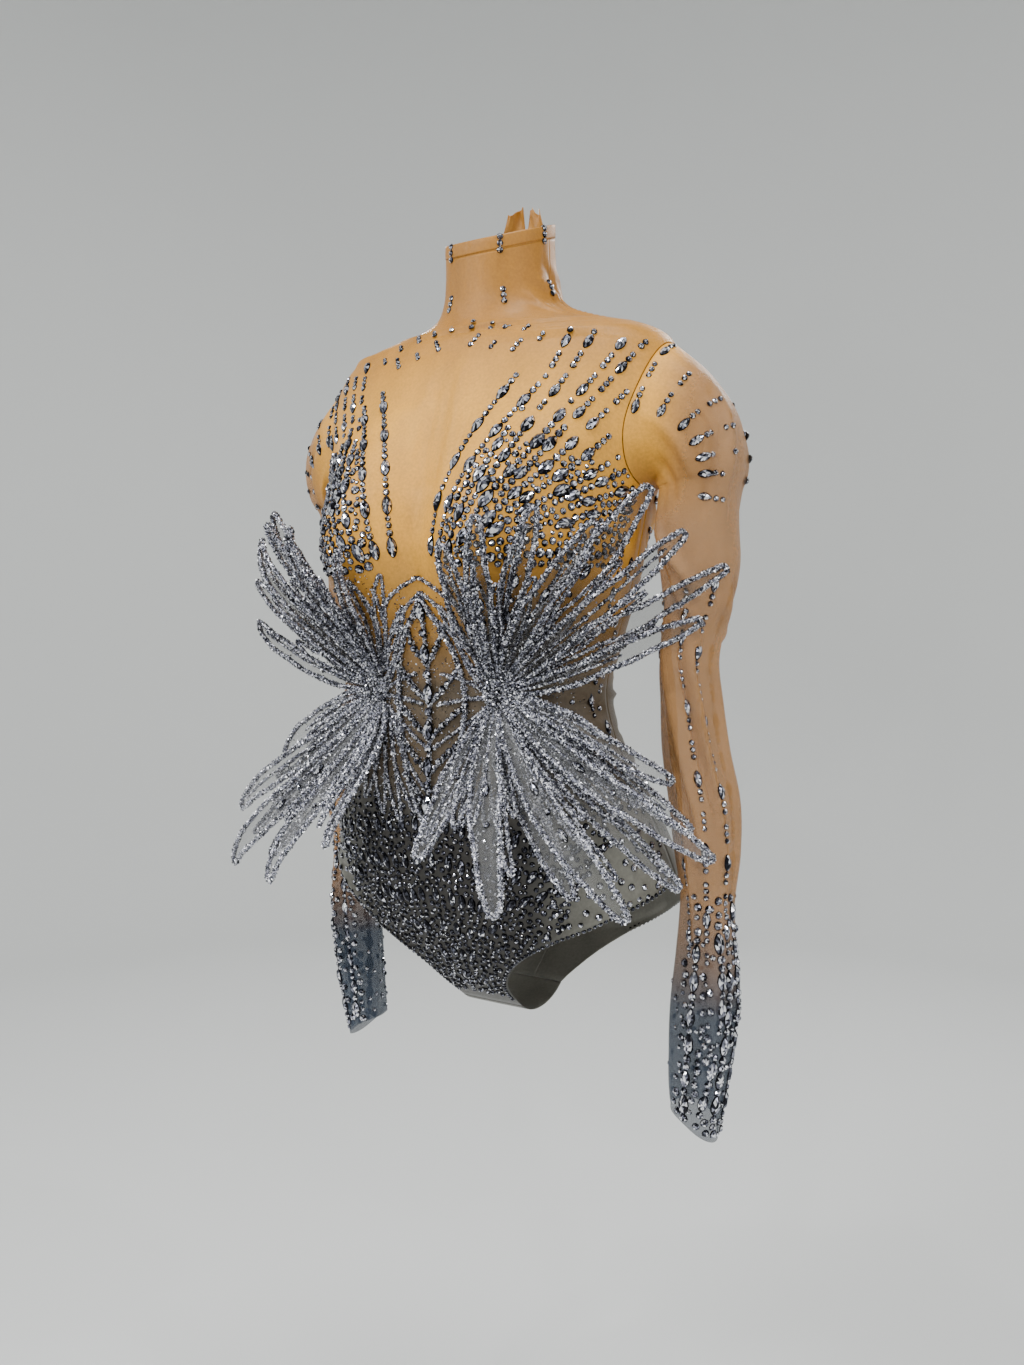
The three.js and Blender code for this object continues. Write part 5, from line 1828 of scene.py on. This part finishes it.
class BODYSUIT_OT_front_stones(Maker):
    """Sets the stones of the front: neck, rays over the cups, waist and brief"""

    bl_idname = "bodysuit.front_stones"
    bl_label = "Front stones"

    def make(self, context):
        self.neck()
        for name, side in SIDES.items():
            self.chest(name, side)
            self.waist(name, side)
        self.brief()

    def neck(self):
        """Short upright rows of three, all round the neck and its foot."""
        setting = Setting(90)
        triple = pattern_of(5.4, 5.4, 5.4, (60, 0))
        skin = wrapped_skin(1)
        for angle in (-150, -81, -30, 30, 81, 150):
            height = np.array([10.2, 4.6, -1.2])
            setting.set(stones_at(band_skin, height, np.full(3, float(angle)), (-1.0, 0.0), 5.4, 5.4), -1)
            setting.set(strand(skin, (1.6, angle + 2), (3.3, angle + 2), 0, triple, 0.1), -1)
        for k, (x, z) in enumerate(FOOT_ROWS):
            pattern = pattern_of(5.2, 4.8, 4.4, (60, 0))[k % 2 :]
            for place in (front_skin, back_skin):
                for side in (1, -1):
                    turned = turned_skin(lambda a, b, side=side, place=place: place(side * a, b))
                    setting.set(strand(turned, (z, x), (z + 16, x + 10), 0, pattern, 0.4), 0)
        setting.build("stones_neck")

    def chest(self, name, side):
        """Rays from the cup to the shoulder, two bowed rows along the neckline, and rounds between."""
        setting = Setting(100 + side)
        allowed = on_panel("front", 5)
        skin = lambda x, z: front_skin(side * x, z)
        inside = turned_skin(allowed)
        for start, end, bow in (((-222, 19), (-70, 70), 9), ((-224, 31), (-78, 92), 8)):
            setting.set(strand(turned_skin(skin), start, end, -bow, RAY_EDGE, 0.8))
        count = 16
        for k in range(count):
            share = k / (count - 1)
            angle = math.radians(mix(71, -5, share**1.15) + setting.rng.uniform(-1.5, 1.5))
            far = mix(204, 62, np.clip((share - 0.3) / 0.7, 0, 1))
            near_end = far * setting.rng.uniform(0.52, 0.66)
            x, z = mix(42, 122, share), mix(-226, -196, share)
            for pattern, low, high in ((RAY_NEAR, 6 * (k % 2), near_end), (RAY_FAR, near_end + 3, far)):
                shift = k % len(pattern)
                ends = ray(z, x, angle, low, high)
                rotated = pattern[shift:] + pattern[:shift]
                setting.set(strand(turned_skin(skin), *ends, 3.0 - 0.3 * k, rotated, 0.6, inside))
        corners = ((34, -232), (150, -232), (156, -150), (62, -118))
        for count, sizes in ((420, (6.2, 7.0, 8.0)), (5200, (3.6, 4.8, 5.6))):
            field = scattered(skin, corners, count, sizes, setting.rng, allowed, chance=fading(1.2, 1.15))
            setting.set(field, 0.1)
        setting.build(f"stones_chest_{name}")

    def waist(self, name, side):
        """Loose stones at the side of the waist and hip, two rows down the side, and more loose stones
        towards the leg.
        """
        setting = Setting(120 + side)
        skin = wrapped_skin(side)
        for angle, first, last in ((80, 9.9, 15.6), (86.5, 10.4, 16.4)):
            pattern = pattern_of((12.5, 5.6), 4.2, 4.2, (9, 0), 4.6, (7, 0))
            setting.set(strand(skin, (first, angle), (last, angle), -4, pattern, 1.2))
        corners = ((11.0, 44), (11.0, 76), (15.0, 78), (15.0, 46))
        setting.set(scattered(skin, corners, 60, (4.2, 5.0), setting.rng), 9)
        inside = lambda row, angle: angle < panel_edge(row, "front") - 3
        corners = ((15.2, 44), (15.2, 86), (18.6, 80), (18.6, 30))
        setting.set(scattered(skin, corners, 260, (4.6, 5.4, 6.0), setting.rng, inside), 3.2)
        setting.build(f"stones_waist_{name}")

    def brief(self):
        """A close field of small rounds, with pointed stones that fall towards the gusset."""
        setting = Setting(130)
        allowed = on_panel("front", 2.5)
        pattern = pattern_of((13.5, 7.0), 4.8, 4.2, (4, 0))
        skin, inside = turned_skin(front_skin), turned_skin(allowed)
        for k in range(-9, 10):
            x = 15.5 * k
            top, bottom = (-436 - 2.4 * abs(k), x), (-600 + 5 * abs(k), x * 0.16)
            setting.set(strand(skin, top, bottom, 6 * np.sign(k), pattern, 1.4, inside), 0.3)
        for side in (1, -1):
            set_leg_row(setting, wrapped_skin(side), "front", 5.0)
        chance = lambda v: np.where(v < 0.28, 0.35 + 2.0 * v, 1.0)
        corners = ((-150, -425), (150, -425), (70, -612), (-70, -612))
        sizes = (3.4, 3.8, 4.4, 5.2)
        field = scattered(front_skin, corners, 8000, sizes, setting.rng, allowed, chance=chance)
        setting.set(field, 0.15)
        setting.build("stones_brief", 2.4)


class BODYSUIT_OT_back_stones(Maker):
    """Sets the stones of the back, in the same manner as the front's"""

    bl_idname = "bodysuit.back_stones"
    bl_label = "Back stones"

    def make(self, context):
        for name, side in SIDES.items():
            setting = Setting(140 + side)
            allowed = on_panel("back", 5)
            flat = lambda x, z: back_skin(side * x, z)
            skin, inside = turned_skin(flat), turned_skin(allowed)
            for k in range(9):
                angle = math.radians(mix(104, 12, k / 8))
                for pattern, low, high in ((RAY_NEAR, 30, 84), (RAY_FAR, 88, 168)):
                    ends = ray(-232, 62, angle, low, high)
                    setting.set(strand(skin, *ends, 4 - k, pattern, 0.9, inside))
            for k in range(7):
                angle = math.radians(mix(-100, -20, k / 6))
                ends = ray(-392, 66, angle, 20, 100)
                setting.set(strand(skin, *ends, 3, RAY_NEAR, 0.9, inside))
            pair = pattern_of(4.2, 4.2, (10, 0))
            for x in (12, 22):
                setting.set(strand(skin, (-150, x), (-395, x + 6), 5, pair, 1.0, inside))
            for corners, count, clear in (
                (((30, -236), (128, -236), (140, -130), (50, -130)), 700, 0.7),
                (((16, -412), (130, -412), (150, -520), (16, -520)), 900, 1.2),
            ):
                sizes = (3.4, 4.2, 5.0)
                field = scattered(flat, corners, count, sizes, setting.rng, allowed, chance=fading(1.1, 1.1))
                setting.set(field, clear)
            wrapped = lambda row, angle: torso_skin(row, side * (180 - angle))
            set_leg_row(setting, wrapped, "back", 5.4)
            setting.build(f"stones_back_{name}")


class BODYSUIT_OT_sleeve_stones(Maker):
    """Sets the stones of the sleeves: bands over the cap, rows down the arm and clusters at the hand"""

    bl_idname = "bodysuit.sleeve_stones"
    bl_label = "Sleeve stones"

    def make(self, context):
        for name, side in SIDES.items():
            setting = Setting(160 + side)
            skin = lambda ring, turn: sleeve_skin(ring, turn, side)
            cap = pattern_of((12.5, 6.4), 5.0, 4.6, (7, 0), 4.8, 4.8, 4.6, (7, 0))
            for k, ring in enumerate((0.9, 1.8, 2.7, 3.6, 4.5, 5.4, 6.3)):
                setting.set(strand(skin, (ring, 92 - 4 * k), (ring + 0.1, 8 + 3 * k), 0, cap, 1.0))
                setting.set(strand(skin, (ring, 308 + 2 * k), (ring + 0.1, 352 - 3 * k), 0, cap, 1.0))
            pattern = pattern_of((13.5, 6.8), 5.2, 4.8, (5, 0), 4.8, 4.8, 4.6, (7, 0))
            for k, turn in enumerate((38, 84, 128, 322)):
                start, end = (8.4 + 0.35 * (k % 3), turn), (17.2, turn - 14)
                setting.set(strand(skin, start, end, 6 * (-1) ** k, pattern[k % 3 :] + pattern[: k % 3], 1.2))
            big = pattern_of((17, 9), 7.0, 6.0, (15, 8), 6.0)
            for k, turn in enumerate((14, 50, 84, 300, 338)):
                start, end = (16.0 + 0.5 * (k % 2), turn), (20.6, turn + 16)
                setting.set(strand(skin, start, end, 10 * (-1) ** k, big, 0.6))
            corners = ((15.8, -64), (15.8, 128), (20.7, 128), (20.7, -64))
            setting.set(scattered(skin, corners, 800, (4.2, 5.0, 6.0, 7.0), setting.rng), 0.4)
            corners = ((17.5, 128), (17.5, 296), (20.7, 296), (20.7, 128))
            setting.set(scattered(skin, corners, 60, (3.8, 4.8), setting.rng), 4)
            setting.build(f"stones_sleeve_{name}")


class BODYSUIT_OT_petal_stones(Maker):
    """Sets a few stones along the middle of the petals"""

    bl_idname = "bodysuit.petal_stones"
    bl_label = "Petal stones"

    def make(self, context):
        for name, side in SIDES.items():
            setting = Setting(180 + side)
            flip = np.array([side, 1, 1])
            for fan, rows in PETALS.items():
                for i, count in enumerate(rows["stones"].astype(int)):
                    if not count:
                        continue
                    share = mix(0.3, 0.62, (np.arange(count) + 0.5) / count)
                    centre, out, row = petal_line(fan, i, share)
                    ahead = petal_line(fan, i, share + 0.01)[0]
                    tangent = unit(ahead - centre)
                    over = unit(np.cross(unit(np.cross(tangent, out)), tangent))
                    centre = centre - over * 0.16 * row["half"] * 0.9
                    length = np.where((np.arange(count) + i) % 2 == 0, 12.5, 5.0)
                    setting.set(
                        {
                            "point": (centre + over * 0.3) * flip,
                            "normal": over * flip,
                            "heading": tangent * flip,
                            "length": length,
                            "width": np.where(length > 6, 5.8, 5.0),
                        }
                    )
            setting.build(f"stones_petals_{name}")


class BODYSUIT_OT_stage(Maker):
    """Makes the pale floor, the lights and the camera"""

    bl_idname = "bodysuit.stage"
    bl_label = "Stage"

    def make(self, context):
        self.floor(context)
        self.lights(context)
        self.camera(context)

    def floor(self, context):
        """A round floor that curves up into a wall: a profile turned round the vertical."""
        flat, curve, top, depth = 2.4, 1.0, 5.5, 1.25
        sweep = np.linspace(0, np.pi / 2, 24)
        reach = np.concatenate([[0.02, 1.0], flat + curve * np.sin(sweep), [flat + curve]])
        height = np.concatenate([[0, 0], curve - curve * np.cos(sweep), [top]]) - depth
        turn = np.linspace(0, 2 * np.pi, 65)[:-1]
        rings = np.stack(
            [
                reach[:, None] * np.cos(turn),
                reach[:, None] * np.sin(turn),
                height[:, None] + 0 * turn,
            ],
            axis=-1,
        )
        mesh = bpy.data.meshes.new("floor")
        faces = grid_faces(*rings.shape[:2], True)[:, ::-1]
        mesh.from_pydata(rings.reshape(-1, 3).tolist(), [], faces.tolist())
        mesh.polygons.foreach_set("use_smooth", np.ones(len(mesh.polygons), bool))
        made, _, shader = new_material("pale_floor", Roughness=0.75)
        shader.inputs["Base Color"].default_value = (*context.scene.bodysuit_stage.floor, 1)
        mesh.materials.append(made)
        floor = bpy.data.objects.new("floor", mesh)
        context.scene.collection.objects.link(floor)

    def lights(self, context):
        """Soft boxes, and small bright lamps for the stones to catch."""
        world = bpy.data.worlds.new("studio")
        world.use_nodes = True
        sky = world.node_tree.nodes["Background"]
        sky.inputs["Color"].default_value = (0.95, 0.97, 1.0, 1)
        sky.inputs["Strength"].default_value = 0.45
        context.scene.world = world
        strength = context.scene.bodysuit_stage.light
        for name, place, size, power in (
            ("key", (-0.9, -1.7, 1.5), 0.7, 40),
            ("fill", (2.1, -0.9, 0.3), 0.9, 9),
            ("back", (0.4, 1.9, 1.2), 0.8, 26),
            ("top", (0.3, -0.3, 1.9), 0.6, 30),
            ("lamp_1", (1.6, -1.8, 1.3), 0.1, 8),
            ("lamp_2", (-1.6, -1.0, 0.7), 0.1, 8),
            ("lamp_3", (0.4, -2.2, -0.5), 0.1, 6),
            ("lamp_4", (-1.3, 1.5, 0.9), 0.1, 8),
            ("lamp_5", (0.6, -2.1, 0.7), 0.08, 8),
            ("lamp_6", (-0.3, -1.2, 2.0), 0.08, 8),
            ("lamp_7", (2.1, -0.3, 1.1), 0.1, 8),
        ):
            lamp = bpy.data.lights.new(name, "AREA")
            lamp.shape = "DISK"
            lamp.size = size
            lamp.energy = power * strength
            lit = bpy.data.objects.new(name, lamp)
            lit.location = place
            point_along(lit, -np.array(place) + np.array([0, 0, -0.3]))
            context.scene.collection.objects.link(lit)

    def camera(self, context):
        """The photograph's angle, distance and field of view."""
        distance, height = 0.9862, -0.2825
        azimuth, pitch, yaw = math.radians(31), math.radians(2.8), math.radians(0.53)
        focal, tall, sensor = 1056.1, 1365, 36.0
        data = bpy.data.cameras.new("camera")
        data.sensor_width = sensor
        data.lens = focal / tall * sensor
        data.clip_start = 0.01
        camera = bpy.data.objects.new("camera", data)
        camera.location = (distance * math.sin(azimuth), -distance * math.cos(azimuth), height)
        heading = azimuth - yaw
        aim = (-math.sin(heading) * math.cos(pitch), math.cos(heading) * math.cos(pitch), -math.sin(pitch))
        point_along(camera, aim)
        context.scene.collection.objects.link(camera)
        context.scene.camera = camera


def point_along(held, aim):
    """Turns a camera or lamp to look along a direction, upright."""
    held.rotation_mode = "QUATERNION"
    held.rotation_quaternion = Vector(aim).to_track_quat("-Z", "Y")


OPERATORS = (
    BODYSUIT_OT_stage,
    BODYSUIT_OT_front,
    BODYSUIT_OT_back,
    BODYSUIT_OT_gusset,
    BODYSUIT_OT_neck_band,
    BODYSUIT_OT_closure,
    BODYSUIT_OT_sleeves,
    BODYSUIT_OT_bosses,
    BODYSUIT_OT_petals,
    BODYSUIT_OT_inner_petals,
    BODYSUIT_OT_applique,
    BODYSUIT_OT_cords,
    BODYSUIT_OT_front_stones,
    BODYSUIT_OT_back_stones,
    BODYSUIT_OT_sleeve_stones,
    BODYSUIT_OT_petal_stones,
)
SETTINGS = {
    "bodysuit_cloth": ClothSettings,
    "bodysuit_stones": StoneSettings,
    "bodysuit_petals": PetalSettings,
    "bodysuit_stage": StageSettings,
}


class BODYSUIT_PT_panel(bpy.types.Panel):
    """Lists the settings and the pieces"""

    bl_idname = "BODYSUIT_PT_panel"
    bl_label = "Bodysuit"
    bl_space_type = "VIEW_3D"
    bl_region_type = "UI"
    bl_category = "Bodysuit"

    def draw(self, context):
        for name, settings in SETTINGS.items():
            box = self.layout.box()
            for key in settings.__annotations__:
                box.prop(getattr(context.scene, name), key)
        for operator in OPERATORS:
            self.layout.operator(operator.bl_idname)


def register():
    """Registers the settings, the operators and the panel."""
    for name, settings in SETTINGS.items():
        bpy.utils.register_class(settings)
        setattr(bpy.types.Scene, name, bpy.props.PointerProperty(type=settings))
    for made in (*OPERATORS, BODYSUIT_PT_panel):
        bpy.utils.register_class(made)


def unregister():
    """Takes the panel, the operators and the settings out again."""
    for made in (BODYSUIT_PT_panel, *reversed(OPERATORS)):
        bpy.utils.unregister_class(made)
    for name, settings in SETTINGS.items():
        delattr(bpy.types.Scene, name)
        bpy.utils.unregister_class(settings)


def main():
    """Makes the whole bodysuit and its stage."""
    register()
    for operator in OPERATORS:
        group, name = operator.bl_idname.split(".")
        getattr(getattr(bpy.ops, group), name)()


if __name__ == "__main__":
    main()
